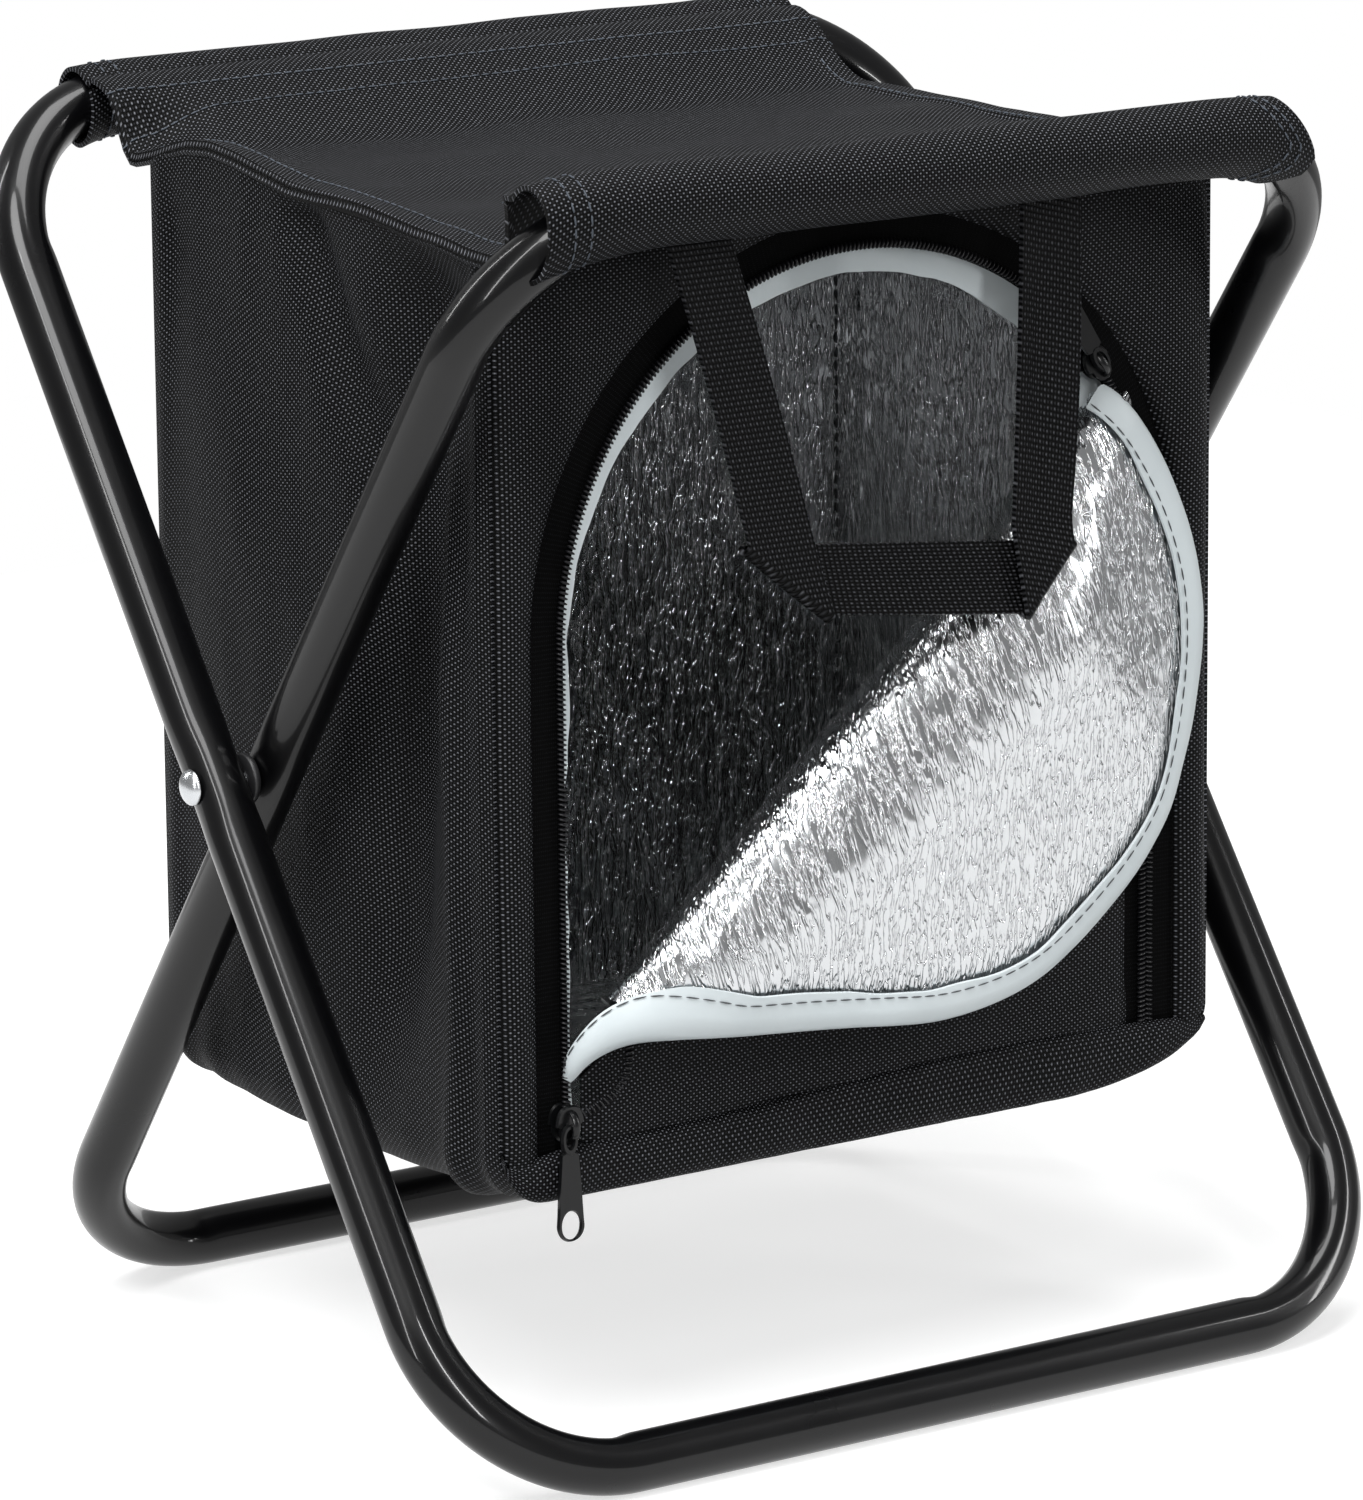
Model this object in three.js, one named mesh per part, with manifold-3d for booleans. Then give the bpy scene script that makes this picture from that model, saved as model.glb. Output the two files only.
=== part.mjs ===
// Folding cooler stool: two crossed bent-tube loops that carry a cloth seat,
// with an insulated bag hung under the seat and an arched zip flap in its front.
// Millimetres, +Z up, the front faces -Y, the floor is z = 0.
import * as THREE from 'three';
import { mergeVertices } from 'three/addons/utils/BufferGeometryUtils.js';
import Module from 'manifold-3d';

const wasm = await Module();
wasm.setup();

// Clearances between pieces
const SEAT_GAP = 0.3;
const PIN_PLAY = 0.2;
const SLEEVE_PLAY = 0.4;
const JOIN_LAP = 0.2;

// Fineness of curves
const TURN_SEGMENTS = 20;
const CURVE_SEGMENTS = 12;
const SLEEVE_SEGMENTS = 10;
const CORNER_SEGMENTS = 5;
const ARCH_SEGMENTS = 24;
const DOME_STEPS = 5;
const WELD_DISTANCE = 1e-4;

// Tube frame
const TUBE_DIAMETER = 16;
const TUBE_SIDES = 16;
const OUTER_HALF_WIDTH = 152;
const FRAME_GAP = 1.6;
const RAIL_Y = 123;
const RAIL_Z = 343;
const BEND_RADIUS = 50;
const BEND_STEPS = 7;
const BUTT_GAP = 0.6;
const JOINER_LENGTH = 70;
const TUBE_WALL = 1.2;

// Pivot
const LAND_DEPTH = 0.5;
const LAND_LENGTH = 26;
const RIVET_RADIUS = 2.5;
const RIVET_HEAD_RADIUS = 5;
const RIVET_HEAD_HEIGHT = 2.6;
const RIVET_CLINCH_RADIUS = 4;
const RIVET_CLINCH_HEIGHT = 1.4;
const RIVET_CLINCH_TIP_RADIUS = 2.8;
const SPACER_RADIUS = 7;

// Seat and sleeves
const FRONT_SLEEVE_INSET = 10.4;
const REAR_SLEEVE_INSET = 33;
const SLEEVE_ACROSS = 9.9;
const SLEEVE_DOWN = 10.6;
const SLEEVE_DROP = 0.9;
const SEAT_EDGE_INSET = 4;
const SEAT_CLOTH = 1.8;
const SEAT_SAG = 19;
const SEAT_EDGE_RISE = 7;
const SEAT_FLAT_HALF_DEPTH = 48;
const SHEET_STEP = 8;

// Bag
const SEAT_OVERHANG = 2;
const BAG_INSET = 38;
const BAG_BOTTOM = 72;
const BAG_CORNER = 14;
const BAG_TOP_CORNER = 10;
const BOTTOM_SAG = 5;
const CLOTH = 1.4;
const LINER = 3.5;
const LINER_MARGIN = 4;

// Zip and flap, seen from the front
const WALL_MARGIN = 22;
const ZIP_TOP_DROP = 27;
const ZIP_END_Z = 88;
const ZIP_TAPE_WIDTH = 9.5;
const ZIP_TAPE_THICKNESS = 1;
const COIL_WIDTH = 2.4;
const COIL_THICKNESS = 2.4;
const COIL_GAP = 2;
const BAND_TOP_Z = 82;
const FLAP_TAPE_WIDTH = 5;
const BINDING_WIDTH = 9;
const BINDING_LAP = 6;
const BINDING_THICKNESS = 1;
const CREASE_ANGLE = THREE.MathUtils.degToRad(40);
const CREASE_LEFT_Z = 123;
const ROLL_OFFSET = 24;
const ROLL_RADIUS = 9;
const FOLD_LAP = 1;
const RETURN_TILT = THREE.MathUtils.degToRad(7);

// Zip sliders and pulls
const SLIDER_WIDTH = 8;
const SLIDER_LENGTH = 9;
const SLIDER_TAIL_WIDTH = 6.4;
const SLIDER_NOSE_WIDTH = 6;
const SLIDER_SHOULDER_Z = 1.4;
const SLIDER_PLATE = 1;
const SLIDER_PLAY = 0.3;
const SLIDER_POST = 1.2;
const LEFT_SLIDER_Z = 94;
const RIGHT_SLIDER_ANGLE = THREE.MathUtils.degToRad(36.5);
const CROWN_WIDTH = 2.4;
const CROWN_HALF_LENGTH = 3.4;
const CROWN_BAR = 1.2;
const CROWN_HOLE = 2.8;
const PULL_LENGTH = 31;
const PULL_TOP_WIDTH = 6.4;
const PULL_END_WIDTH = 11;
const PULL_THICKNESS = 1.5;
const PULL_BAR = 2;
const PULL_HOLE_WIDTH = 5;
const PULL_HOLE_LENGTH = 8;

// Carry handle, seen from the front
const WEBBING_WIDTH = 21;
const WEBBING_THICKNESS = 1.6;
const HANDLE_INSET = 10;
const HANDLE_TOP_DROP = 6;
const HANDLE_LEFT_TOP_X = -73;
const HANDLE_RIGHT_TOP_X = 48;
const HANDLE_LEFT_CORNER_X = -43;
const HANDLE_RIGHT_CORNER_X = 38;
const HANDLE_BAR_DROP = 113;

// Sizes that follow from the ones above
const TUBE_RADIUS = TUBE_DIAMETER / 2;
const INNER_HALF_WIDTH = OUTER_HALF_WIDTH - TUBE_DIAMETER - FRAME_GAP;
const FRONT_SLEEVE_HALF_WIDTH = INNER_HALF_WIDTH - FRONT_SLEEVE_INSET;
const REAR_SLEEVE_HALF_WIDTH = OUTER_HALF_WIDTH - REAR_SLEEVE_INSET;
const SEAT_HALF_WIDTH = FRONT_SLEEVE_HALF_WIDTH - SEAT_EDGE_INSET;
const BAG_HALF_WIDTH = SEAT_HALF_WIDTH - SEAT_OVERHANG;
const ZIP_RADIUS = BAG_HALF_WIDTH - WALL_MARGIN;
const ZIP_CENTRE_Z = RAIL_Z - ZIP_TOP_DROP - ZIP_RADIUS;
const BAG_HALF_DEPTH = RAIL_Y - BAG_INSET;
const HANDLE_Y = HANDLE_INSET - RAIL_Y;
const HANDLE_TOP_Z = RAIL_Z - HANDLE_TOP_DROP;
const HANDLE_BAR_Z = RAIL_Z - HANDLE_BAR_DROP;
const PIVOT_Z = (RAIL_Z + TUBE_RADIUS) / 2;
const HALF_LEG = Math.hypot(RAIL_Y, RAIL_Z - PIVOT_Z);
const LEAN = Math.atan2(RAIL_Y, RAIL_Z - PIVOT_Z);
const FRONT_Y = -BAG_HALF_DEPTH;
const FLAP_EDGE = ZIP_RADIUS - COIL_GAP / 2 - FLAP_TAPE_WIDTH;
const PANEL_CUT = ZIP_RADIUS + COIL_GAP / 2 + ZIP_TAPE_WIDTH;
const LINER_CUT = ZIP_RADIUS + SLIDER_WIDTH / 2 + 2 * SEAT_GAP;
const TAPE_Y = FRONT_Y + CLOTH;
const LINER_Y = FRONT_Y + CLOTH + SEAT_GAP + LINER;

// Finishes
const finish = (color, roughness, metalness) =>
  new THREE.MeshStandardMaterial({ color, roughness, metalness });
const BLACK_TUBE = finish(0x17181a, 0.35, 0.3);
const ZINC = finish(0xb4b6b8, 0.3, 1);
const NYLON = finish(0x222324, 0.5, 0);
const OXFORD = finish(0x1d1f22, 0.85, 0);
const FOIL = finish(0xc9cbcd, 0.28, 0.9);
const VINYL = finish(0xd9dad8, 0.45, 0);
const TAPE = finish(0x141517, 0.8, 0);
const GUNMETAL = finish(0x3a3c40, 0.35, 0.9);
const WEBBING = finish(0x18191b, 0.75, 0);

const stool = new THREE.Group();

/** Adds a named piece to the stool or to a group in it. */
function piece(name, geometry, material, parent = stool) {
  const mesh = new THREE.Mesh(geometry, material);
  mesh.name = name;
  parent.add(mesh);
  return mesh;
}

/** Turns a closed three.js geometry into a solid that can be joined and cut. */
function solid(geometry) {
  const bare = geometry.clone();
  bare.deleteAttribute('normal');
  bare.deleteAttribute('uv');
  const merged = mergeVertices(bare, WELD_DISTANCE);
  const vertProperties = new Float32Array(merged.attributes.position.array);
  const triVerts = new Uint32Array(merged.index.array);
  return new wasm.Manifold(new wasm.Mesh({ numProp: 3, vertProperties, triVerts }));
}

/** Turns a joined or cut solid back into a three.js geometry. */
function geometryOf(body) {
  const mesh = body.getMesh();
  const geometry = new THREE.BufferGeometry();
  geometry.setAttribute('position', new THREE.BufferAttribute(new Float32Array(mesh.vertProperties), 3));
  geometry.setIndex(new THREE.BufferAttribute(new Uint32Array(mesh.triVerts), 1));
  return geometry;
}

/** Extrudes an outline given in two axes along the third axis of a right-handed basis. */
function prism(outline, depth, axisA, axisB, origin) {
  const shape = outline instanceof THREE.Shape ? outline : new THREE.Shape(outline);
  const settings = { depth, bevelEnabled: false, curveSegments: CURVE_SEGMENTS };
  const geometry = new THREE.ExtrudeGeometry(shape, settings);
  const axisC = new THREE.Vector3().crossVectors(axisA, axisB);
  geometry.applyMatrix4(new THREE.Matrix4().makeBasis(axisA, axisB, axisC));
  geometry.translate(origin.x, origin.y, origin.z);
  return geometry;
}

const X = new THREE.Vector3(1, 0, 0);
const Y = new THREE.Vector3(0, 1, 0);
const Z = new THREE.Vector3(0, 0, 1);

/** A plate in the X-Z plane: its outline is seen from the front, its back face lies at backY. */
function frontPlate(outline, thickness, backY) {
  return prism(outline, thickness, X, Z, new THREE.Vector3(0, backY, 0));
}

/** A profile drawn in Y and Z, extruded along X and centred on the stool. */
function crossPiece(outline, halfWidth) {
  return prism(outline, 2 * halfWidth, Y, Z, new THREE.Vector3(-halfWidth, 0, 0));
}

/** A box given by its middle and its full sizes. */
function block(sizes, middle) {
  return new THREE.BoxGeometry(...sizes).translate(...middle);
}

/** A ring or disc of revolution about X, from a profile of [radius, x] points. */
function turnedOnX(profile) {
  const points = profile.map(([radius, x]) => new THREE.Vector2(radius, x));
  return new THREE.LatheGeometry(points, TURN_SEGMENTS).rotateZ(-Math.PI / 2);
}

/** Keeps the part of a polygon on the side of a line that its normal points to. */
function clip(points, origin, normal) {
  const side = (point) => point.clone().sub(origin).dot(normal);
  return points.flatMap((point, i) => {
    const next = points[(i + 1) % points.length];
    const here = side(point);
    const there = side(next);
    const kept = here >= 0 ? [point] : [];
    const crosses = (here >= 0) !== (there >= 0);
    return crosses ? [...kept, point.clone().lerp(next, here / (here - there))] : kept;
  });
}

// Tube loops

/** A path whose stations are given one by one, so that only bends are finely divided. */
class StationPath extends THREE.Curve {
  constructor(stations) {
    super();
    this.stations = stations;
  }

  station(u) {
    return this.stations[Math.round(u * (this.stations.length - 1))];
  }

  getPoint(u) {
    return this.station(u).point.clone();
  }

  getPointAt(u) {
    return this.getPoint(u);
  }

  getTangentAt(u) {
    return this.station(u).tangent.clone();
  }
}

/** Stations of one 90 degree bend that starts at an angle and turns clockwise. */
function bendStations(centreX, centreZ, startAngle, sweep = Math.PI / 2) {
  return Array.from({ length: BEND_STEPS + 1 }, (_, i) => {
    const angle = startAngle - (sweep * i) / BEND_STEPS;
    const outward = new THREE.Vector3(Math.cos(angle), 0, Math.sin(angle));
    const centre = new THREE.Vector3(centreX, 0, centreZ);
    const tangent = new THREE.Vector3(Math.sin(angle), 0, -Math.cos(angle));
    return { point: outward.multiplyScalar(BEND_RADIUS).add(centre), tangent };
  });
}

/** The centreline of a loop, from the butt joint in its seat rail all the way round. */
function loopPath(halfWidth) {
  const cornerX = halfWidth - BEND_RADIUS;
  const cornerZ = HALF_LEG - BEND_RADIUS;
  const end = (x) => ({ point: new THREE.Vector3(x, 0, HALF_LEG), tangent: X });
  return new StationPath([
    end(BUTT_GAP / 2),
    ...bendStations(cornerX, cornerZ, Math.PI / 2),
    ...bendStations(cornerX, -cornerZ, 0),
    ...bendStations(-cornerX, -cornerZ, -Math.PI / 2),
    ...bendStations(-cornerX, cornerZ, -Math.PI),
    end(-BUTT_GAP / 2),
  ]);
}

/** The stretch of a seat rail that a sleeve covers, from its left end to its right end. */
function sleevePath(halfWidth, sleeveHalfWidth) {
  const cornerX = halfWidth - BEND_RADIUS;
  const cornerZ = HALF_LEG - BEND_RADIUS;
  const sweep = Math.asin((sleeveHalfWidth - cornerX) / BEND_RADIUS);
  return new StationPath([
    ...bendStations(-cornerX, cornerZ, Math.PI / 2 + sweep, sweep),
    ...bendStations(cornerX, cornerZ, Math.PI / 2, sweep),
  ]);
}

/** A round section with flat sides, one of which faces the given angle. */
function roundSection(radius, sides, flatAngle) {
  const corner = radius / Math.cos(Math.PI / sides);
  return Array.from({ length: sides }, (_, i) => {
    const angle = flatAngle + ((i + 0.5) * 2 * Math.PI) / sides;
    return new THREE.Vector2(Math.cos(angle), Math.sin(angle)).multiplyScalar(corner);
  });
}

/** Sweeps a section along a path of stations. */
function sweep(section, path) {
  const shape = section instanceof THREE.Shape ? section : new THREE.Shape(section);
  const steps = path.stations.length - 1;
  return new THREE.ExtrudeGeometry(shape, { steps, extrudePath: path });
}

/** One bent loop with its rivet holes, flattened rivet seats and bored butt ends. */
function tubeLoop(halfWidth, downAngle) {
  const section = roundSection(TUBE_RADIUS, TUBE_SIDES, downAngle);
  let loop = solid(sweep(section, loopPath(halfWidth)));
  const bore = new THREE.CylinderGeometry(
    TUBE_RADIUS - TUBE_WALL, TUBE_RADIUS - TUBE_WALL, JOINER_LENGTH + 2 * SEAT_GAP, TUBE_SIDES);
  loop = loop.subtract(solid(bore.rotateZ(Math.PI / 2).translate(0, 0, HALF_LEG)));
  for (const side of [-1, 1]) {
    const hole = new THREE.CylinderGeometry(
      RIVET_RADIUS + PIN_PLAY, RIVET_RADIUS + PIN_PLAY, 3 * TUBE_DIAMETER, TURN_SEGMENTS);
    loop = loop.subtract(solid(hole.rotateZ(Math.PI / 2).translate(side * halfWidth, 0, 0)));
    for (const face of [-1, 1]) {
      const land = [side * halfWidth + face * (2 * TUBE_RADIUS - LAND_DEPTH), 0, 0];
      loop = loop.subtract(solid(block([TUBE_DIAMETER, 2 * TUBE_DIAMETER, LAND_LENGTH], land)));
    }
  }
  return geometryOf(loop);
}

/** The spigot that joins the two butt ends of a loop. */
function tubeJoiner() {
  const radius = TUBE_RADIUS - TUBE_WALL - SEAT_GAP;
  const rod = new THREE.CylinderGeometry(radius, radius, JOINER_LENGTH, TUBE_SIDES);
  return rod.rotateZ(Math.PI / 2).translate(0, 0, HALF_LEG);
}

/** A cloth sleeve round a seat rail, hanging a little below the tube. */
function railSleeve(halfWidth, sleeveHalfWidth, downAngle) {
  const drop = new THREE.Vector2(Math.cos(downAngle), Math.sin(downAngle)).multiplyScalar(SLEEVE_DROP);
  const shape = new THREE.Shape();
  shape.absellipse(drop.x, drop.y, SLEEVE_DOWN, SLEEVE_ACROSS, 0, 2 * Math.PI, false, downAngle);
  const outline = new THREE.Shape(shape.getPoints(SLEEVE_SEGMENTS).slice(0, -1));
  outline.holes.push(new THREE.Path(roundSection(TUBE_RADIUS + SLEEVE_PLAY, TUBE_SIDES, downAngle)));
  return sweep(outline, sleevePath(halfWidth, sleeveHalfWidth));
}

/** A loop's frame of reference, leaning to one side of the pivot. */
function leaningGroup(lean) {
  const group = new THREE.Group();
  group.position.z = PIVOT_Z;
  group.rotation.x = lean;
  stool.add(group);
  return group;
}

const outerGroup = leaningGroup(-LEAN);
const innerGroup = leaningGroup(LEAN);

// The angle in a section at which the floor lies: a loop's first section axis points into the loop,
// a sleeve's second one does, because a sleeve's path starts inside a bend
const groundFlat = (lean) => Math.PI + lean;
const sleeveDown = (lean) => Math.PI / 2 - lean;
piece('outer_tube', tubeLoop(OUTER_HALF_WIDTH, groundFlat(-LEAN)), BLACK_TUBE, outerGroup);
piece('inner_tube', tubeLoop(INNER_HALF_WIDTH, groundFlat(LEAN)), BLACK_TUBE, innerGroup);
piece('outer_tube_joiner', tubeJoiner(), ZINC, outerGroup);
piece('inner_tube_joiner', tubeJoiner(), ZINC, innerGroup);
const rearSleeve = railSleeve(OUTER_HALF_WIDTH, REAR_SLEEVE_HALF_WIDTH, sleeveDown(-LEAN));
const frontSleeve = railSleeve(INNER_HALF_WIDTH, FRONT_SLEEVE_HALF_WIDTH, sleeveDown(LEAN));
piece('rear_sleeve', rearSleeve, OXFORD, outerGroup);
piece('front_sleeve', frontSleeve, OXFORD, innerGroup);

// Pivots

const OUTER_LAND = OUTER_HALF_WIDTH + TUBE_RADIUS - LAND_DEPTH;
const INNER_LAND = INNER_HALF_WIDTH - TUBE_RADIUS + LAND_DEPTH;
const SPACER_INNER_X = INNER_HALF_WIDTH + TUBE_RADIUS - LAND_DEPTH + SEAT_GAP;
const SPACER_OUTER_X = OUTER_HALF_WIDTH - TUBE_RADIUS + LAND_DEPTH - SEAT_GAP;

/** A domed rivet through both tubes, with its clinched end on the bag side. */
function pivotRivet() {
  const headX = OUTER_LAND + SEAT_GAP;
  const clinchX = INNER_LAND - SEAT_GAP;
  const dome = Array.from({ length: DOME_STEPS + 1 }, (_, i) => {
    const angle = (i * Math.PI) / (2 * DOME_STEPS);
    return [RIVET_HEAD_RADIUS * Math.cos(angle), headX + RIVET_HEAD_HEIGHT * Math.sin(angle)];
  });
  dome[dome.length - 1][0] = 0;
  return turnedOnX([
    [0, clinchX - RIVET_CLINCH_HEIGHT],
    [RIVET_CLINCH_TIP_RADIUS, clinchX - RIVET_CLINCH_HEIGHT],
    [RIVET_CLINCH_RADIUS, clinchX],
    [RIVET_RADIUS, clinchX],
    [RIVET_RADIUS, headX],
    ...dome,
  ]);
}

/** The nylon washer that keeps the two tubes apart. */
function pivotSpacer() {
  const bore = RIVET_RADIUS + PIN_PLAY;
  return turnedOnX([
    [bore, SPACER_INNER_X],
    [SPACER_RADIUS, SPACER_INNER_X],
    [SPACER_RADIUS, SPACER_OUTER_X],
    [bore, SPACER_OUTER_X],
    [bore, SPACER_INNER_X],
  ]);
}

for (const [side, turn] of [['right', 0], ['left', Math.PI]]) {
  const pivot = new THREE.Group();
  pivot.position.z = PIVOT_Z;
  pivot.rotation.z = turn;
  stool.add(pivot);
  piece(`pivot_rivet_${side}`, pivotRivet(), ZINC, pivot);
  piece(`pivot_spacer_${side}`, pivotSpacer(), NYLON, pivot);
}

// Seat

const SEAT_EDGE_Z = RAIL_Z + SEAT_EDGE_RISE;
const sleeveRise = (SEAT_EDGE_RISE - SEAT_CLOTH + SLEEVE_DROP) / SLEEVE_DOWN;
const SEAT_EDGE_Y = RAIL_Y - SLEEVE_ACROSS * Math.sqrt(1 - sleeveRise ** 2) - SEAT_GAP;

/** Height of the seat's top face: flat in the middle and drawn up to the rails. */
function seatHeight(y) {
  const ramp = (Math.abs(y) - SEAT_FLAT_HALF_DEPTH) / (SEAT_EDGE_Y - SEAT_FLAT_HALF_DEPTH);
  const share = THREE.MathUtils.clamp(ramp, 0, 1);
  return SEAT_EDGE_Z - (SEAT_SAG * (1 + Math.cos(Math.PI * share))) / 2;
}

/** Places across the stool at which curved sheets are divided, the same for every sheet. */
function sheetStations(halfDepth) {
  const count = Math.ceil(halfDepth / SHEET_STEP) - 1;
  const inside = Array.from({ length: 2 * count + 1 }, (_, i) => (i - count) * SHEET_STEP);
  return [-halfDepth, ...inside, halfDepth];
}

/** A sheet that follows a height curve across the stool, hung from its top face. */
function sagSheet(height, halfDepth, thickness, halfWidth) {
  const across = sheetStations(halfDepth);
  const lower = across.map((y) => new THREE.Vector2(y, height(y) - thickness));
  const upper = across.map((y) => new THREE.Vector2(y, height(y)));
  return crossPiece([...lower, ...upper.reverse()], halfWidth);
}

const BAG_TOP = seatHeight(BAG_HALF_DEPTH - CLOTH) - SEAT_CLOTH - SEAT_GAP;
const LINER_HALF_WIDTH = BAG_HALF_WIDTH - CLOTH - SEAT_GAP;
const FLOOR_HALF_WIDTH = LINER_HALF_WIDTH - LINER - SEAT_GAP;
const LINER_HALF_DEPTH = BAG_HALF_DEPTH - CLOTH - LINER - 2 * SEAT_GAP - BINDING_THICKNESS - SEAT_GAP;
const seatLinerTop = (y) => seatHeight(y) - SEAT_CLOTH - SEAT_GAP;
piece('seat_panel', sagSheet(seatHeight, SEAT_EDGE_Y, SEAT_CLOTH, SEAT_HALF_WIDTH), OXFORD);
piece('seat_liner', sagSheet(seatLinerTop, LINER_HALF_DEPTH, LINER, FLOOR_HALF_WIDTH), FOIL);

// Bag sides and bottom

/** Height of the bottom cloth's lower face, sagging in the middle. */
const bottomHeight = (y) => BAG_BOTTOM - BOTTOM_SAG * (1 - (y / BAG_HALF_DEPTH) ** 2);
const SIDE_HALF_DEPTH = BAG_HALF_DEPTH - CLOTH - SEAT_GAP;
const bottomTop = (y) => bottomHeight(y) + CLOTH;
const bottomLinerTop = (y) => bottomHeight(y) + CLOTH + SEAT_GAP + LINER;
piece('bottom_panel', sagSheet(bottomTop, SIDE_HALF_DEPTH, CLOTH, LINER_HALF_WIDTH), OXFORD);
piece('bottom_liner', sagSheet(bottomLinerTop, LINER_HALF_DEPTH, LINER, FLOOR_HALF_WIDTH), FOIL);

/** A side wall between two height curves, as a profile seen from the side. */
function sideWall(halfDepth, lowerHeight, upperHeight, thickness, innerX) {
  const across = sheetStations(halfDepth);
  const lower = across.map((y) => new THREE.Vector2(y, lowerHeight(y)));
  const upper = across.map((y) => new THREE.Vector2(y, upperHeight(y)));
  return prism([...lower, ...upper.reverse()], thickness, Y, Z, new THREE.Vector3(innerX, 0, 0));
}

const gussetTop = (y) => Math.min(seatHeight(y) - SEAT_CLOTH, BAG_TOP) - SEAT_GAP;
const sideLinerBottom = (y) => bottomHeight(y) + CLOTH + SEAT_GAP;
const sideLinerTop = (y) => gussetTop(y) - SEAT_GAP;
for (const [side, sign] of [['left', -1], ['right', 1]]) {
  const gussetX = BAG_HALF_WIDTH - CLOTH / 2;
  const linerX = LINER_HALF_WIDTH - LINER / 2;
  piece(`${side}_gusset`, sideWall(
    SIDE_HALF_DEPTH, bottomHeight, gussetTop, CLOTH, sign * gussetX - CLOTH / 2), OXFORD);
  piece(`${side}_liner`, sideWall(
    LINER_HALF_DEPTH, sideLinerBottom, sideLinerTop, LINER, sign * linerX - LINER / 2), FOIL);
}

// Front and rear walls

/** A wall outline with rounded corners, inset from the bag's own outline. */
function wallOutline(inset) {
  const half = BAG_HALF_WIDTH - inset;
  const corner = BAG_CORNER - inset / 2;
  const topCorner = BAG_TOP_CORNER - inset / 2;
  const low = BAG_BOTTOM + inset;
  const high = BAG_TOP - inset;
  const shape = new THREE.Shape();
  shape.moveTo(half, high - topCorner);
  shape.absarc(half - topCorner, high - topCorner, topCorner, 0, Math.PI / 2, false);
  shape.absarc(-half + topCorner, high - topCorner, topCorner, Math.PI / 2, Math.PI, false);
  shape.lineTo(-half, low + corner);
  shape.absarc(-half + corner, low + corner, corner, Math.PI, 1.5 * Math.PI, false);
  shape.absarc(half - corner, low + corner, corner, 1.5 * Math.PI, 2 * Math.PI, false);
  return shape.getPoints(CORNER_SEGMENTS);
}

/** An arch outline: straight sides from a level up to the centre, and a half circle on top. */
function archOutline(radius, bottomZ) {
  const shape = new THREE.Shape();
  shape.moveTo(radius, bottomZ);
  shape.lineTo(radius, ZIP_CENTRE_Z);
  shape.absarc(0, ZIP_CENTRE_Z, radius, 0, Math.PI, false);
  shape.lineTo(-radius, bottomZ);
  return shape.getPoints(ARCH_SEGMENTS);
}

/** A plate with an arched hole. */
function archedPlate(outline, hole, thickness, backY) {
  const plate = solid(frontPlate(outline, thickness, backY));
  return geometryOf(plate.subtract(solid(frontPlate(hole, 3 * thickness, backY + thickness))));
}

/** An arched strip between two radii, open at the bottom. */
function archStrip(outerRadius, innerRadius, bottomZ) {
  return [...archOutline(outerRadius, bottomZ), ...archOutline(innerRadius, bottomZ).reverse()];
}

const LINER_INSET = CLOTH + LINER + LINER_MARGIN;
const panelMouth = archOutline(PANEL_CUT, BAND_TOP_Z);
const linerMouth = archOutline(LINER_CUT, BAND_TOP_Z + LINER_INSET / 2);
piece('front_panel', archedPlate(wallOutline(0), panelMouth, CLOTH, TAPE_Y), OXFORD);
piece('front_liner', archedPlate(wallOutline(LINER_INSET), linerMouth, LINER, LINER_Y), FOIL);
const bindingY = LINER_Y + SEAT_GAP + BINDING_THICKNESS;
const bindingOutline = archStrip(LINER_CUT + BINDING_LAP, ZIP_RADIUS - BINDING_WIDTH, ZIP_END_Z);
piece('opening_binding', frontPlate(bindingOutline, BINDING_THICKNESS, bindingY), VINYL);
piece('rear_panel', frontPlate(wallOutline(0), CLOTH, BAG_HALF_DEPTH), OXFORD);
piece('rear_liner', frontPlate(wallOutline(LINER_INSET), LINER, BAG_HALF_DEPTH - CLOTH - SEAT_GAP), FOIL);

// Zip halves on the wall and on the zipped part of the flap

const COIL_Y = TAPE_Y + (COIL_THICKNESS - CLOTH) / 2;
const tapeBackY = COIL_Y - (COIL_THICKNESS - ZIP_TAPE_THICKNESS) / 2;

/** A zip half: a flat tape with a thicker coil along one edge, cut to an outline. */
function zipHalf(tapeOutline, coilOutline) {
  const tape = solid(frontPlate(tapeOutline, ZIP_TAPE_THICKNESS, tapeBackY));
  return geometryOf(tape.add(solid(frontPlate(coilOutline, COIL_THICKNESS, COIL_Y))));
}

const WALL_COIL = ZIP_RADIUS + COIL_GAP / 2;
const FLAP_COIL = ZIP_RADIUS - COIL_GAP / 2;
piece('zip_tape', zipHalf(
  archStrip(PANEL_CUT - SEAT_GAP, WALL_COIL, ZIP_END_Z),
  archStrip(WALL_COIL + COIL_WIDTH, WALL_COIL, ZIP_END_Z)), TAPE);

// The crease runs up to the right; its normal points up to the left
const creaseAlong = new THREE.Vector2(Math.cos(CREASE_ANGLE), Math.sin(CREASE_ANGLE));
const creaseUp = new THREE.Vector2(-creaseAlong.y, creaseAlong.x);
const creaseOrigin = new THREE.Vector2(-WALL_COIL, CREASE_LEFT_Z);
const rollAxis = creaseOrigin.clone().addScaledVector(creaseUp, -ROLL_OFFSET);
const zippedEdge = rollAxis.clone().addScaledVector(creaseUp, -SEAT_GAP);
const creaseDown = creaseUp.clone().negate();

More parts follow.
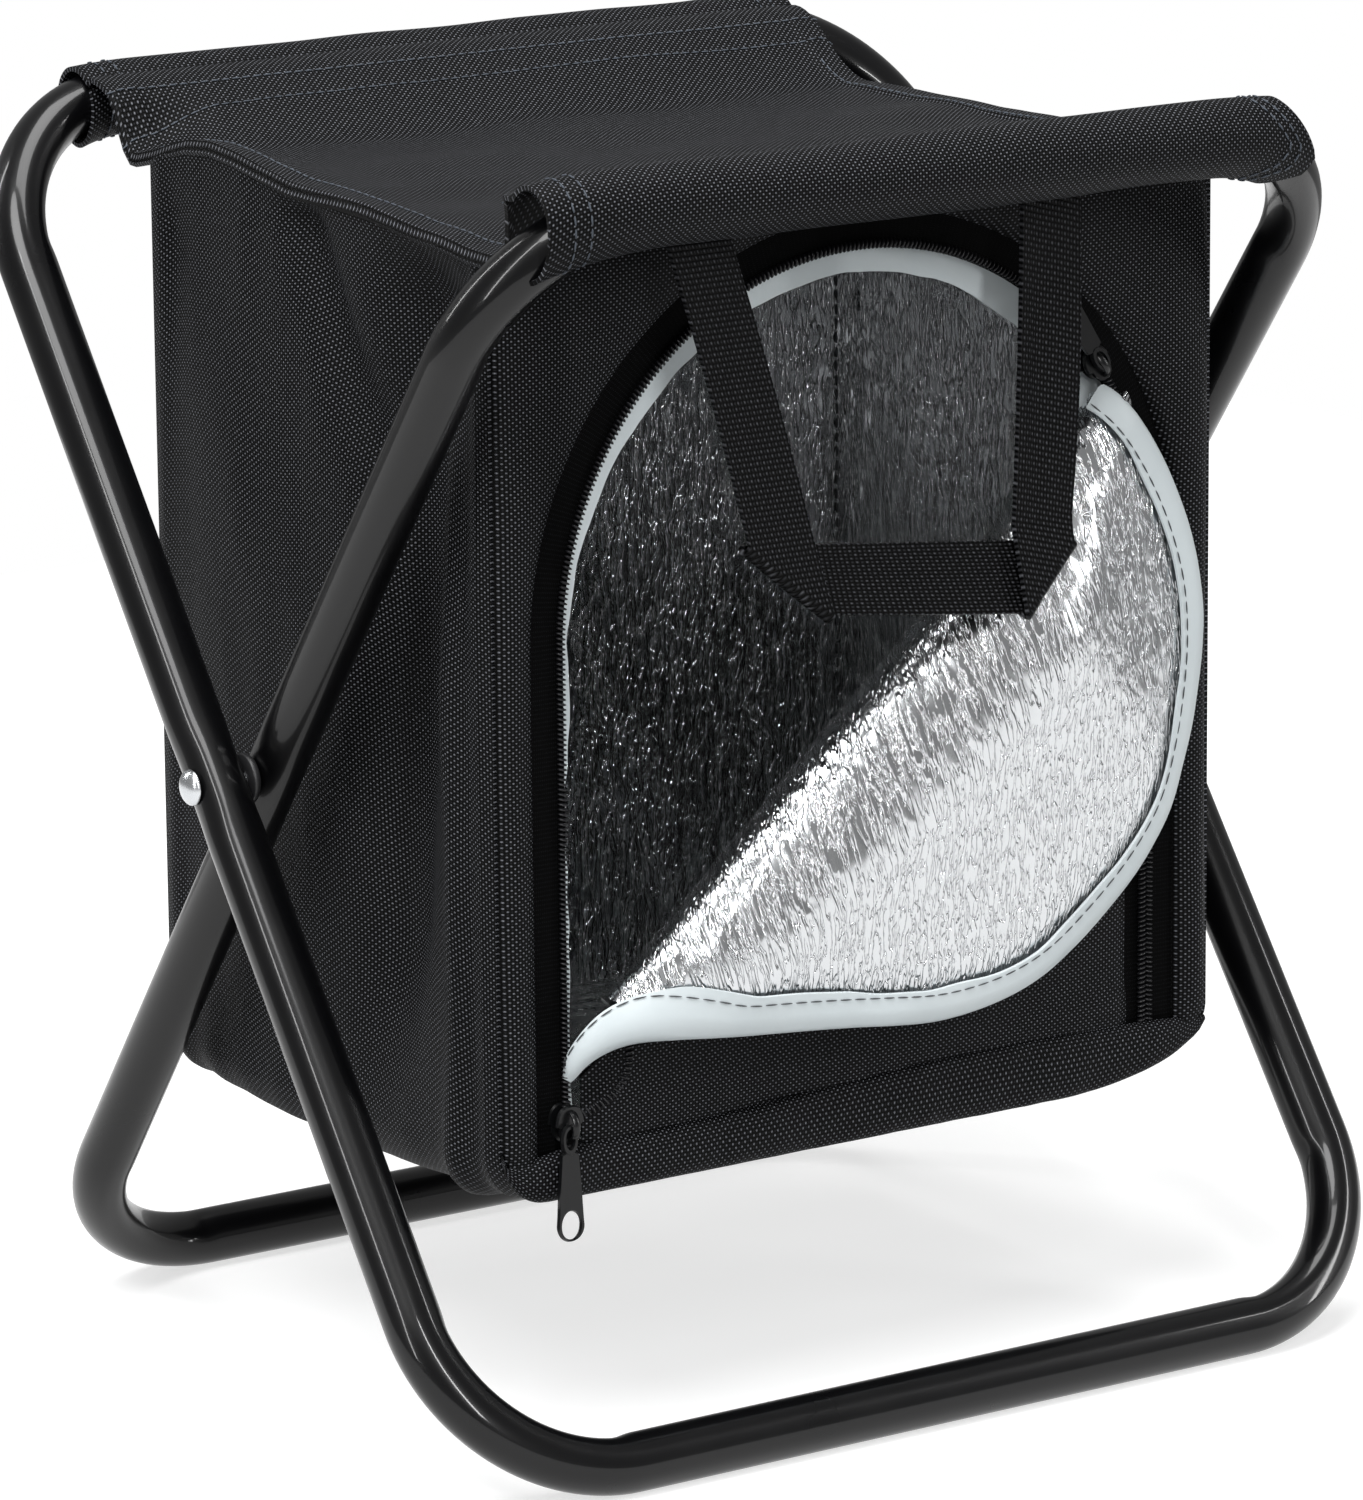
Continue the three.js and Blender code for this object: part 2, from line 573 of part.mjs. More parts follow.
const zippedFlap = clip(archOutline(FLAP_EDGE, BAND_TOP_Z + SEAT_GAP), zippedEdge, creaseDown);
const flapLinerOutline = archOutline(FLAP_EDGE - LINER_MARGIN, BAND_TOP_Z + LINER_INSET);
const zippedLiner = clip(flapLinerOutline, zippedEdge, creaseDown);
piece('flap_lower', frontPlate(zippedFlap, CLOTH, TAPE_Y), OXFORD);
piece('flap_lower_liner', frontPlate(zippedLiner, LINER, LINER_Y), FOIL);

/** The right-hand half of an arched strip that lies below the roll. */
function zippedStrip(outerRadius, innerRadius) {
  const strip = archStrip(outerRadius, innerRadius, ZIP_END_Z);
  const right = clip(strip, new THREE.Vector2(), new THREE.Vector2(1, 0));
  return clip(right, zippedEdge, creaseDown);
}

piece('flap_lower_tape', zipHalf(
  zippedStrip(FLAP_COIL, FLAP_EDGE + SEAT_GAP), zippedStrip(FLAP_COIL, FLAP_COIL - COIL_WIDTH)), TAPE);

// The part of the flap that is rolled back

/** Mirrors points in the crease line, as the cloth folds over. */
function foldOver(points) {
  const mirrored = points.map((point) => {
    const rise = point.clone().sub(creaseOrigin).dot(creaseUp);
    return point.clone().addScaledVector(creaseUp, -2 * rise);
  });
  return mirrored.reverse();
}

const FLAP_REACH = 2 * ZIP_RADIUS;
const upAxis = new THREE.Vector3(creaseUp.x, 0, creaseUp.y);
const outAxis = Y.clone().negate();

/** The profile of one face of the rolled flap: a half roll and the tilted return. */
function rollProfile(radius) {
  const roll = new THREE.Path();
  roll.absarc(0, ROLL_RADIUS, radius, -Math.PI / 2, Math.PI / 2 + RETURN_TILT, false);
  const points = roll.getPoints(CURVE_SEGMENTS);
  const back = new THREE.Vector2(-Math.cos(RETURN_TILT), -Math.sin(RETURN_TILT));
  return [...points, points[points.length - 1].clone().addScaledVector(back, FLAP_REACH)];
}

/** One layer of the rolled flap, between two radii. */
function rolledLayer(innerRadius, outerRadius) {
  const outline = [...rollProfile(outerRadius), ...rollProfile(innerRadius).reverse()];
  const start = rollAxis.clone().addScaledVector(creaseAlong, -FLAP_REACH);
  const origin = new THREE.Vector3(start.x, FRONT_Y, start.y);
  return solid(prism(outline, 3 * FLAP_REACH, upAxis, outAxis, origin));
}

/** A deep block with a frontal outline, to cut a rolled layer to shape, forward of backY. */
function cutter(outline, backY) {
  return solid(frontPlate(outline, BAG_HALF_DEPTH, backY));
}

const rollLimit = creaseOrigin.clone().addScaledVector(creaseUp, ROLL_OFFSET);

/** The return of the free flap, out to a radius, seen from the front and lapping the roll. */
function returnCutter(radius, lap) {
  const start = rollLimit.clone().addScaledVector(creaseUp, -lap);
  return cutter(foldOver(clip(archOutline(radius, 0), start, creaseUp)), FRONT_Y);
}

/** The roll and the return of the free flap, out to a radius, seen from the front. */
function flapCutter(radius) {
  const roll = clip(clip(archOutline(radius, 0), rollAxis, creaseUp), rollLimit, creaseDown);
  return returnCutter(radius, FOLD_LAP).add(cutter(roll, FRONT_Y + BAG_HALF_DEPTH / 2));
}

/** The strip of the return between two radii, ending just short of the roll. */
function returnStrip(outerRadius, innerRadius) {
  const inside = foldOver(archOutline(innerRadius, 0));
  return returnCutter(outerRadius, -FOLD_LAP).subtract(cutter(inside, FRONT_Y + BAG_HALF_DEPTH / 2));
}

const clothOuter = ROLL_RADIUS + CLOTH;
const linerInner = clothOuter + SEAT_GAP;
const linerOuter = linerInner + LINER;
const bindingInner = linerOuter + SEAT_GAP;
const bindingOuter = bindingInner + BINDING_THICKNESS;
const tapeOuter = ROLL_RADIUS - SEAT_GAP;
const flapCloth = rolledLayer(ROLL_RADIUS, clothOuter).intersect(flapCutter(FLAP_EDGE));
const flapFoil = rolledLayer(linerInner, linerOuter).intersect(flapCutter(FLAP_EDGE - LINER_MARGIN));
const flapEdging = rolledLayer(bindingInner, bindingOuter)
  .intersect(returnStrip(FLAP_EDGE, FLAP_EDGE - BINDING_WIDTH));
const flapTape = rolledLayer(tapeOuter - ZIP_TAPE_THICKNESS, tapeOuter)
  .intersect(returnStrip(FLAP_COIL - COIL_WIDTH / 2, FLAP_EDGE - LINER_MARGIN));
const flapCoil = rolledLayer(tapeOuter - COIL_THICKNESS, tapeOuter - JOIN_LAP)
  .intersect(returnStrip(FLAP_COIL, FLAP_COIL - COIL_WIDTH));
piece('flap_panel', geometryOf(flapCloth), OXFORD);
piece('flap_liner', geometryOf(flapFoil), FOIL);
piece('flap_binding', geometryOf(flapEdging), VINYL);
piece('flap_zip_tape', geometryOf(flapTape.add(flapCoil)), TAPE);

// Zip sliders and pulls, built with the track along Z and the front towards -Y

const SLIDER_GAP = COIL_THICKNESS + 2 * SLIDER_PLAY;
const SLIDER_FRONT_Y = -SLIDER_GAP / 2 - SLIDER_PLATE;
const COIL_MIDDLE_Y = COIL_Y - COIL_THICKNESS / 2;

/** A slider: two shouldered plates on a centre post, with a crown for the pull. */
function zipSlider() {
  const wide = SLIDER_WIDTH / 2;
  const long = SLIDER_LENGTH / 2;
  const tail = SLIDER_TAIL_WIDTH / 2;
  const nose = SLIDER_NOSE_WIDTH / 2;
  const plate = [
    [-tail, -long], [tail, -long], [wide, SLIDER_SHOULDER_Z],
    [nose, long], [-nose, long], [-wide, SLIDER_SHOULDER_Z],
  ].map(([x, z]) => new THREE.Vector2(x, z));
  const front = solid(frontPlate(plate, SLIDER_PLATE, -SLIDER_GAP / 2));
  const rear = solid(frontPlate(plate, SLIDER_PLATE, SLIDER_GAP / 2 + SLIDER_PLATE));
  const postSizes = [SLIDER_POST, SLIDER_GAP + SLIDER_PLATE, long];
  const post = solid(block(postSizes, [0, 0, long / 2]));
  const inner = CROWN_HALF_LENGTH - CROWN_BAR;
  const crown = [
    [-CROWN_HALF_LENGTH, -JOIN_LAP], [-inner, -JOIN_LAP], [-inner, CROWN_HOLE], [inner, CROWN_HOLE],
    [inner, -JOIN_LAP], [CROWN_HALF_LENGTH, -JOIN_LAP],
    [CROWN_HALF_LENGTH, CROWN_HOLE + CROWN_BAR], [-CROWN_HALF_LENGTH, CROWN_HOLE + CROWN_BAR],
  ].map(([z, out]) => new THREE.Vector2(z, out));
  const crownFoot = new THREE.Vector3(-CROWN_WIDTH / 2, SLIDER_FRONT_Y, 0);
  const bridge = solid(prism(crown, CROWN_WIDTH, Z, outAxis, crownFoot));
  return geometryOf(front.add(rear).add(post).add(bridge));
}

/** A pull: a plate that widens to a round end, with a slot for the crown and an oval hole. */
function zipPull() {
  const top = PULL_BAR / 2;
  const endRadius = PULL_END_WIDTH / 2;
  const endZ = top - PULL_LENGTH + endRadius;
  const slotHalf = CROWN_WIDTH / 2 + CROWN_BAR / 2;
  const slotEnd = -CROWN_HALF_LENGTH - CROWN_BAR;
  const shape = new THREE.Shape();
  shape.moveTo(PULL_TOP_WIDTH / 2, top);
  shape.lineTo(-PULL_TOP_WIDTH / 2, top);
  shape.lineTo(-endRadius, endZ);
  shape.absarc(0, endZ, endRadius, Math.PI, 2 * Math.PI, false);
  const slot = new THREE.Path();
  slot.moveTo(-slotHalf, -top);
  slot.lineTo(slotHalf, -top);
  slot.lineTo(slotHalf, slotEnd);
  slot.lineTo(-slotHalf, slotEnd);
  const hole = new THREE.Path();
  hole.absellipse(0, endZ, PULL_HOLE_WIDTH / 2, PULL_HOLE_LENGTH / 2, 0, 2 * Math.PI);
  shape.holes.push(slot, hole);
  return frontPlate(shape, PULL_THICKNESS, PULL_THICKNESS / 2);
}

/** Puts a slider and its pull on the track; the pull hangs or is turned up by a given angle. */
function zipRunner(side, track, turnUp) {
  piece(`zip_slider_${side}`, zipSlider(), TAPE, track);
  const pull = piece(`zip_pull_${side}`, zipPull(), GUNMETAL, track);
  pull.position.y = SLIDER_FRONT_Y - CROWN_HOLE / 2;
  pull.rotation.x = turnUp;
}

const leftTrack = new THREE.Group();
leftTrack.position.set(-ZIP_RADIUS, COIL_MIDDLE_Y, LEFT_SLIDER_Z);
stool.add(leftTrack);
zipRunner('left', leftTrack, 0);

const arch = new THREE.Group();
arch.position.set(0, COIL_MIDDLE_Y, ZIP_CENTRE_Z);
arch.rotation.y = -RIGHT_SLIDER_ANGLE;
stool.add(arch);
const rightTrack = new THREE.Group();
rightTrack.position.x = ZIP_RADIUS;
arch.add(rightTrack);
zipRunner('right', rightTrack, Math.PI);

// Carry handle of folded webbing

/** A straight run of webbing between two points, long enough to be clipped at its ends. */
function webbingRun(from, to) {
  const along = to.clone().sub(from).normalize();
  const across = new THREE.Vector2(-along.y, along.x).multiplyScalar(WEBBING_WIDTH / 2);
  const start = from.clone().addScaledVector(along, -WEBBING_WIDTH);
  const end = to.clone().addScaledVector(along, WEBBING_WIDTH);
  return [
    start.clone().sub(across), end.clone().sub(across), end.clone().add(across), start.clone().add(across),
  ];
}

/** The handle: two strands and a bar, each corner folded flat on the bisector. */
function carryHandle() {
  const leftTop = new THREE.Vector2(HANDLE_LEFT_TOP_X, HANDLE_TOP_Z);
  const leftCorner = new THREE.Vector2(HANDLE_LEFT_CORNER_X, HANDLE_BAR_Z);
  const rightCorner = new THREE.Vector2(HANDLE_RIGHT_CORNER_X, HANDLE_BAR_Z);
  const rightTop = new THREE.Vector2(HANDLE_RIGHT_TOP_X, HANDLE_TOP_Z);
  const down = leftCorner.clone().sub(leftTop).normalize();
  const along = rightCorner.clone().sub(leftCorner).normalize();
  const up = rightTop.clone().sub(rightCorner).normalize();
  const leftFold = along.clone().sub(down);
  const rightFold = up.clone().sub(along);
  const below = new THREE.Vector2(0, -1);
  const left = clip(clip(webbingRun(leftTop, leftCorner), leftCorner, leftFold), leftTop, below);
  const right = clip(clip(webbingRun(rightCorner, rightTop), rightCorner, rightFold), rightTop, below);
  const bar = clip(clip(webbingRun(leftCorner, rightCorner), leftCorner, leftFold), rightCorner, rightFold);
  const strandY = HANDLE_Y + WEBBING_THICKNESS / 2;
  const strands = solid(frontPlate(left, WEBBING_THICKNESS, strandY))
    .add(solid(frontPlate(right, WEBBING_THICKNESS, strandY)));
  const barY = strandY - WEBBING_THICKNESS + JOIN_LAP;
  return geometryOf(strands.add(solid(frontPlate(bar, WEBBING_THICKNESS, barY))));
}

piece('carry_handle', carryHandle(), WEBBING);

export default stool;
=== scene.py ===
import logging
import math
from dataclasses import dataclass
from enum import Enum
from typing import Optional, Sequence, Union

import bmesh
import bpy
import numpy as np
from mathutils import Matrix, Vector


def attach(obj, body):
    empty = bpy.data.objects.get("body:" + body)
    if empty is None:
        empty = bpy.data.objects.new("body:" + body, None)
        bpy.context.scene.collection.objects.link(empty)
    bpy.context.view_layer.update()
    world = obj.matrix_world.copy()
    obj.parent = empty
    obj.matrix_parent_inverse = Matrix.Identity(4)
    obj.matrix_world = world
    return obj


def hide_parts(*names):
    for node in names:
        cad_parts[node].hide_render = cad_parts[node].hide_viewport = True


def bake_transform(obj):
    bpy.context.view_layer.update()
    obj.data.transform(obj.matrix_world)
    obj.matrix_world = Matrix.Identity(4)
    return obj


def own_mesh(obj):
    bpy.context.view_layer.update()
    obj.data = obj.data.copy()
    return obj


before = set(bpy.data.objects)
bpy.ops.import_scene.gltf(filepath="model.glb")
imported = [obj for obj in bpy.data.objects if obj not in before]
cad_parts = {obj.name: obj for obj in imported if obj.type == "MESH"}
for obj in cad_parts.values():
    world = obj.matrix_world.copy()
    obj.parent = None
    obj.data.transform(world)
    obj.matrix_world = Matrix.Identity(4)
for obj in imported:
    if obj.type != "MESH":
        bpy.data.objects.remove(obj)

LOG = logging.getLogger("cooler_stool")
MM = 0.001
UV_NAME = "cloth_mm"
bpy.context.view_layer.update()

Array = np.ndarray
Piece = bpy.types.Object
Material = bpy.types.Material
Tree = bpy.types.NodeTree
Pair = tuple[float, float]
Triple = tuple[float, float, float]
Faces = list[list[int]]
# Points and the faces over them
Body = tuple[Array, Faces]


# Numbers and colours

def linear(hex_colour: str) -> tuple[float, float, float, float]:
    """Turn an sRGB hex colour into linear light.

    Args:
        hex_colour: Six hex digits, with or without a leading hash.

    Returns:
        Red, green, blue and an alpha of one.
    """
    digits = hex_colour.lstrip("#")
    parts = [int(digits[i:i + 2], 16) / 255 for i in (0, 2, 4)]
    light = [p / 12.92 if p <= 0.04045 else ((p + 0.055) / 1.055) ** 2.4 for p in parts]
    return (light[0], light[1], light[2], 1.0)


def smoothstep(low: float, high: float, x: Array) -> Array:
    """Rise smoothly from 0 at low to 1 at high."""
    t = np.clip((np.asarray(x, float) - low) / (high - low), 0, 1)
    return t * t * (3 - 2 * t)


def ridge(x: Array, centre: float, width: float) -> Array:
    """A soft bump of height 1 about a centre."""
    return np.exp(-((np.asarray(x, float) - centre) / width) ** 2)


def lattice_noise(a: Array, b: Array, seed: int) -> Array:
    """Smooth noise over two coordinates, the same on every run.

    Args:
        a: First coordinate, in lattice steps.
        b: Second coordinate, in lattice steps.
        seed: Picks one of many patterns.

    Returns:
        Values from -1 to 1.
    """
    a, b = np.broadcast_arrays(np.asarray(a, float), np.asarray(b, float))
    ia, ib = np.floor(a).astype(np.int64), np.floor(b).astype(np.int64)
    fa, fb = a - ia, b - ib
    fa, fb = fa * fa * (3 - 2 * fa), fb * fb * (3 - 2 * fb)

    def corner(da: int, db: int) -> Array:
        """The value at one corner of the lattice cell.

        Args:
            da: Step of the first coordinate.
            db: Step of the second coordinate.

        Returns:
            Values from -1 to 1.
        """
        h = ((ia + da) * 7919 + (ib + db) * 104729 + seed * 1299709) & 0x7FFFFFFF
        h = ((h ^ (h >> 13)) * 60493) & 0x7FFFFFFF
        h = ((h ^ (h >> 11)) * 19937) & 0x7FFFFFFF
        return ((h >> 7) & 0xFFFF) / 32767.5 - 1

    low = corner(0, 0) * (1 - fa) + corner(1, 0) * fa
    high = corner(0, 1) * (1 - fa) + corner(1, 1) * fa
    return low * (1 - fb) + high * fb


def full_turn(count: int) -> Array:
    """Even angles round a full turn."""
    return np.linspace(0, 2 * np.pi, count, endpoint=False)


# Meshes

def linked(name: str, data: bpy.types.ID) -> Piece:
    """Make an object of some data and link it to the scene.

    Args:
        name: Object name.
        data: Its mesh, lamp or camera.

    Returns:
        The object.
    """
    made = bpy.data.objects.new(name, data)
    bpy.context.scene.collection.objects.link(made)
    return made


def new_piece(name: str, points: Array, faces: Sequence[Sequence[int]], material: Material,
              uvs: Optional[Array] = None, sharp_deg: float = 50.0) -> Piece:
    """Make one closed body at the origin, with its place in its vertices.

    Args:
        name: Object name.
        points: Vertices in millimetres.
        faces: Vertex indices of each face.
        material: The piece's finish.
        uvs: Cloth coordinates of each vertex, in millimetres.
        sharp_deg: Edges that bend more than this are shaded sharp.

    Returns:
        The new object, linked to the scene.
    """
    mesh = bpy.data.meshes.new(name)
    mesh.from_pydata((np.asarray(points, float) * MM).tolist(), [], [list(map(int, f)) for f in faces])
    if uvs is not None:
        layer = mesh.uv_layers.new(name=UV_NAME)
        index = np.zeros(len(mesh.loops), np.int32)
        mesh.loops.foreach_get("vertex_index", index)
        layer.data.foreach_set("uv", np.asarray(uvs, np.float32)[index].ravel())
    body = bmesh.new()
    body.from_mesh(mesh)
    bmesh.ops.recalc_face_normals(body, faces=body.faces)
    body.to_mesh(mesh)
    body.free()
    mesh.polygons.foreach_set("use_smooth", [True] * len(mesh.polygons))
    mesh.set_sharp_from_angle(angle=math.radians(sharp_deg))
    mesh.materials.append(material)
    mesh.update()
    return linked(name, mesh)


def grid_faces(rows: int, columns: int, wrap_rows: bool = False, wrap_columns: bool = False) -> Faces:
    """Quads over a grid of vertices stored row by row.

    Args:
        rows: Rows of vertices.
        columns: Vertices in a row.
        wrap_rows: Whether the last row joins the first.
        wrap_columns: Whether each row's last vertex joins its first.

    Returns:
        Vertex indices of each quad.
    """
    r_end = rows if wrap_rows else rows - 1
    c_end = columns if wrap_columns else columns - 1
    return [
        [i * columns + j, ((i + 1) % rows) * columns + j,
         ((i + 1) % rows) * columns + (j + 1) % columns, i * columns + (j + 1) % columns]
        for i in range(r_end) for j in range(c_end)
    ]


def grid_normals(points: Array, wrap_rows: bool = False) -> Array:
    """Unit normals of a grid of points, from its two running directions.

    Args:
        points: Rows by columns by 3.
        wrap_rows: Whether the last row joins the first.

    Returns:
        A normal for each point.
    """
    if wrap_rows:
        along = np.roll(points, -1, 0) - np.roll(points, 1, 0)
    else:
        along = np.gradient(points, axis=0)
    across = np.gradient(points, axis=1)
    normal = np.cross(along, across)
    length = np.linalg.norm(normal, axis=-1, keepdims=True)
    return normal / np.maximum(length, 1e-9)


class Look(Enum):
    """Which way a sheet's outer face looks, as axis and sign."""

    LEFT = (0, -1)
    FRONT = (1, -1)
    REAR = (1, 1)
    UP = (2, 1)


def looks_away(points: Array, look: Look, at: Optional[tuple[int, int]] = None,
               wrap_rows: bool = False) -> bool:
    """Whether a grid's face looks the other way than wanted.

    Args:
        points: Grid of points.
        look: The wanted way.
        at: Row and column that are looked at, or None for the middle.
        wrap_rows: Whether the last row joins the first.

    Returns:
        True if the grid has to be turned over.
    """
    row, column = at or (len(points) // 2, points.shape[1] // 2)
    axis, sign = look.value
    return grid_normals(points, wrap_rows)[row, column, axis] * sign < 0


def thick_sheet(name: str, points: Array, uvs: Array, thickness: float, material: Material,
                look: Optional[Look] = None, wrap_rows: bool = False) -> Piece:
    """A closed sheet of cloth from a grid of points on one face.

    Args:
        name: Object name.
        points: Grid of points of the outer face, rows by columns by 3, in millimetres.
        uvs: Grid of cloth coordinates, in millimetres.
        thickness: Distance to the other face, along the negative normals.
        material: The sheet's finish.
        look: Which way the outer face looks, or None if the grid is known to be right.
        wrap_rows: Whether the last row joins the first.

    Returns:
        The sheet as an object.
    """
    if look and looks_away(points, look, wrap_rows=wrap_rows):
        points, uvs = points[::-1], uvs[::-1]
    rows, columns = points.shape[:2]
    inner = points - grid_normals(points, wrap_rows) * thickness
    count = rows * columns
    faces = grid_faces(rows, columns, wrap_rows)
    shell = faces + [[count + k for k in reversed(f)] for f in faces]
    rim = []
    if not wrap_rows:
        rim += [[(0, j), (0, j + 1)] for j in range(columns - 1)]
        rim += [[(rows - 1, j + 1), (rows - 1, j)] for j in range(columns - 1)]
    r_end = rows if wrap_rows else rows - 1
    rim += [[((i + 1) % rows, 0), (i, 0)] for i in range(r_end)]
    rim += [[(i, columns - 1), ((i + 1) % rows, columns - 1)] for i in range(r_end)]
    for (ia, ja), (ib, jb) in rim:
        a, b = ia * columns + ja, ib * columns + jb
        shell.append([a, b, count + b, count + a])
    both = np.concatenate([points.reshape(-1, 3), inner.reshape(-1, 3)])
    flat = np.concatenate([uvs.reshape(-1, 2), uvs.reshape(-1, 2)])
    return new_piece(name, both, shell, material, flat)


def swept_tube(name: str, rings: Array, material: Material, uvs: Optional[Array] = None,
               joined: bool = False) -> Piece:
    """A closed body from rings of points.

    Args:
        name: Object name.
        rings: Rings by ring points by 3, in millimetres.
        material: The body's finish.
        uvs: Cloth coordinates of the ring points, if it is cloth.
        joined: Whether the last ring joins the first, or else each end has a cap.

    Returns:
        The body as an object.
    """
    rows, columns = rings.shape[:2]
    faces = grid_faces(rows, columns, joined, True)
    if not joined:
        faces += [list(range(columns)), [(rows - 1) * columns + j for j in reversed(range(columns))]]
    flat = None if uvs is None else uvs.reshape(-1, 2)
    return new_piece(name, rings.reshape(-1, 3), faces, material, flat)


def arc_lengths(points: Array, axis: int) -> Array:
    """Running length of a line or grid of points along one of its directions."""
    steps = np.linalg.norm(np.diff(points, axis=axis), axis=-1)
    return np.insert(np.cumsum(steps, axis=axis), 0, 0, axis=axis)


# Finishes

def add_node(tree: Tree, kind: str, values: Optional[dict] = None, links: Optional[dict] = None,
             **settings: object) -> bpy.types.Node:
    """Add a node with its settings, socket values and incoming links.

    Args:
        tree: Node tree that gets the node.
        kind: Blender's name of the node type.
        values: Constant values by input name or number.
        links: Output sockets, or nodes for their first output, by input name or number.
        **settings: Properties of the node.

    Returns:
        The new node.
    """
    node = tree.nodes.new(kind)
    for key, value in settings.items():
        setattr(node, key, value)
    for key, value in (values or {}).items():
        node.inputs[key].default_value = value
    for key, source in (links or {}).items():
        tree.links.new(source.outputs[0] if isinstance(source, bpy.types.Node) else source, node.inputs[key])
    return node


def empty_tree(owner: Union[Material, bpy.types.World]) -> Tree:
    """Clear the node tree of a material or world.

    Args:
        owner: The material or world.

    Returns:
        Its tree, without nodes.
    """
    owner.use_nodes = True
    owner.node_tree.nodes.clear()
    return owner.node_tree


class Weave(Enum):
    """How threads cross in a cloth."""

    PLAIN = "plain"
    RIBBED = "ribbed"
    TWILL = "twill"


@dataclass(frozen=True)
class WovenCloth:
    """A woven cloth: crossing threads whose crowns carry a painted glint, a lighter base colour, in rows of dots."""

    name: str
    valley: str
    crown_glint: str
    pitch_mm: float
    weave: Weave
    relief_mm: float = 0.16
    roughness: float = 0.55
    shine: float = 0.07
    second_thread: float = 0.45
    crown_power: float = 3.3

    def material(self) -> Material:
        """Build the node material.

        Returns:
            The material.
        """
        material = bpy.data.materials.new(self.name)
        tree = empty_tree(material)
        uv = add_node(tree, "ShaderNodeUVMap", uv_map=UV_NAME)
        turn = math.pi / self.pitch_mm
        stretch = {Weave.PLAIN: 0.84, Weave.RIBBED: 0.62, Weave.TWILL: 1.0}[self.weave]
        spun = add_node(tree, "ShaderNodeVectorMath", {1: (turn * stretch, turn, 0)}, {0: uv}, operation="MULTIPLY")
        split = add_node(tree, "ShaderNodeSeparateXYZ", links={0: spun})
        first, second = split.outputs["X"], split.outputs["Y"]
        if self.weave is Weave.TWILL:
            first = add_node(tree, "ShaderNodeMath", links={0: first, 1: second}, operation="ADD")
        warp = add_node(tree, "ShaderNodeMath", links={0: first}, operation="SINE")
        weft = add_node(tree, "ShaderNodeMath", links={0: second}, operation="SINE")
        cross = add_node(tree, "ShaderNodeMath", links={0: warp, 1: weft}, operation="MULTIPLY")
        # One thread set rides high and gets the stronger painted glint, the other shows lower between them with a
        # weaker one
        other = add_node(tree, "ShaderNodeMath", {1: -self.second_thread}, {0: cross}, operation="MULTIPLY")
        dots = add_node(tree, "ShaderNodeMath", links={0: cross, 1: other}, operation="MAXIMUM")
        # Slubs about 2 mm long: threads are a little uneven, so the rows of dots are not perfectly regular
        slub = add_node(tree, "ShaderNodeTexNoise", {"Scale": 0.45, "Detail": 2.0, "Roughness": 0.6}, {"Vector": uv})
        uneven = add_node(tree, "ShaderNodeMapRange", {1: 0.3, 2: 0.7, 3: 0.65, 4: 1.15}, {0: slub})
        # Painted glint: only the top of each crown gets the lighter colour
        crowns = add_node(tree, "ShaderNodeMath", {1: self.crown_power}, {0: dots}, operation="POWER")
        painted_glint = add_node(tree, "ShaderNodeMath", links={0: crowns, 1: uneven}, operation="MULTIPLY")
        colour = add_node(tree, "ShaderNodeMix", {6: linear(self.valley), 7: linear(self.crown_glint)}, {0: painted_glint},
                          data_type="RGBA")
        bump = add_node(tree, "ShaderNodeBump", {"Distance": self.relief_mm * MM}, {"Height": dots})
        shader = add_node(tree, "ShaderNodeBsdfPrincipled",
                          {"Roughness": self.roughness, "Specular IOR Level": self.shine},
                          {"Base Color": colour.outputs[2], "Normal": bump})
        add_node(tree, "ShaderNodeOutputMaterial", links={"Surface": shader})
        return material


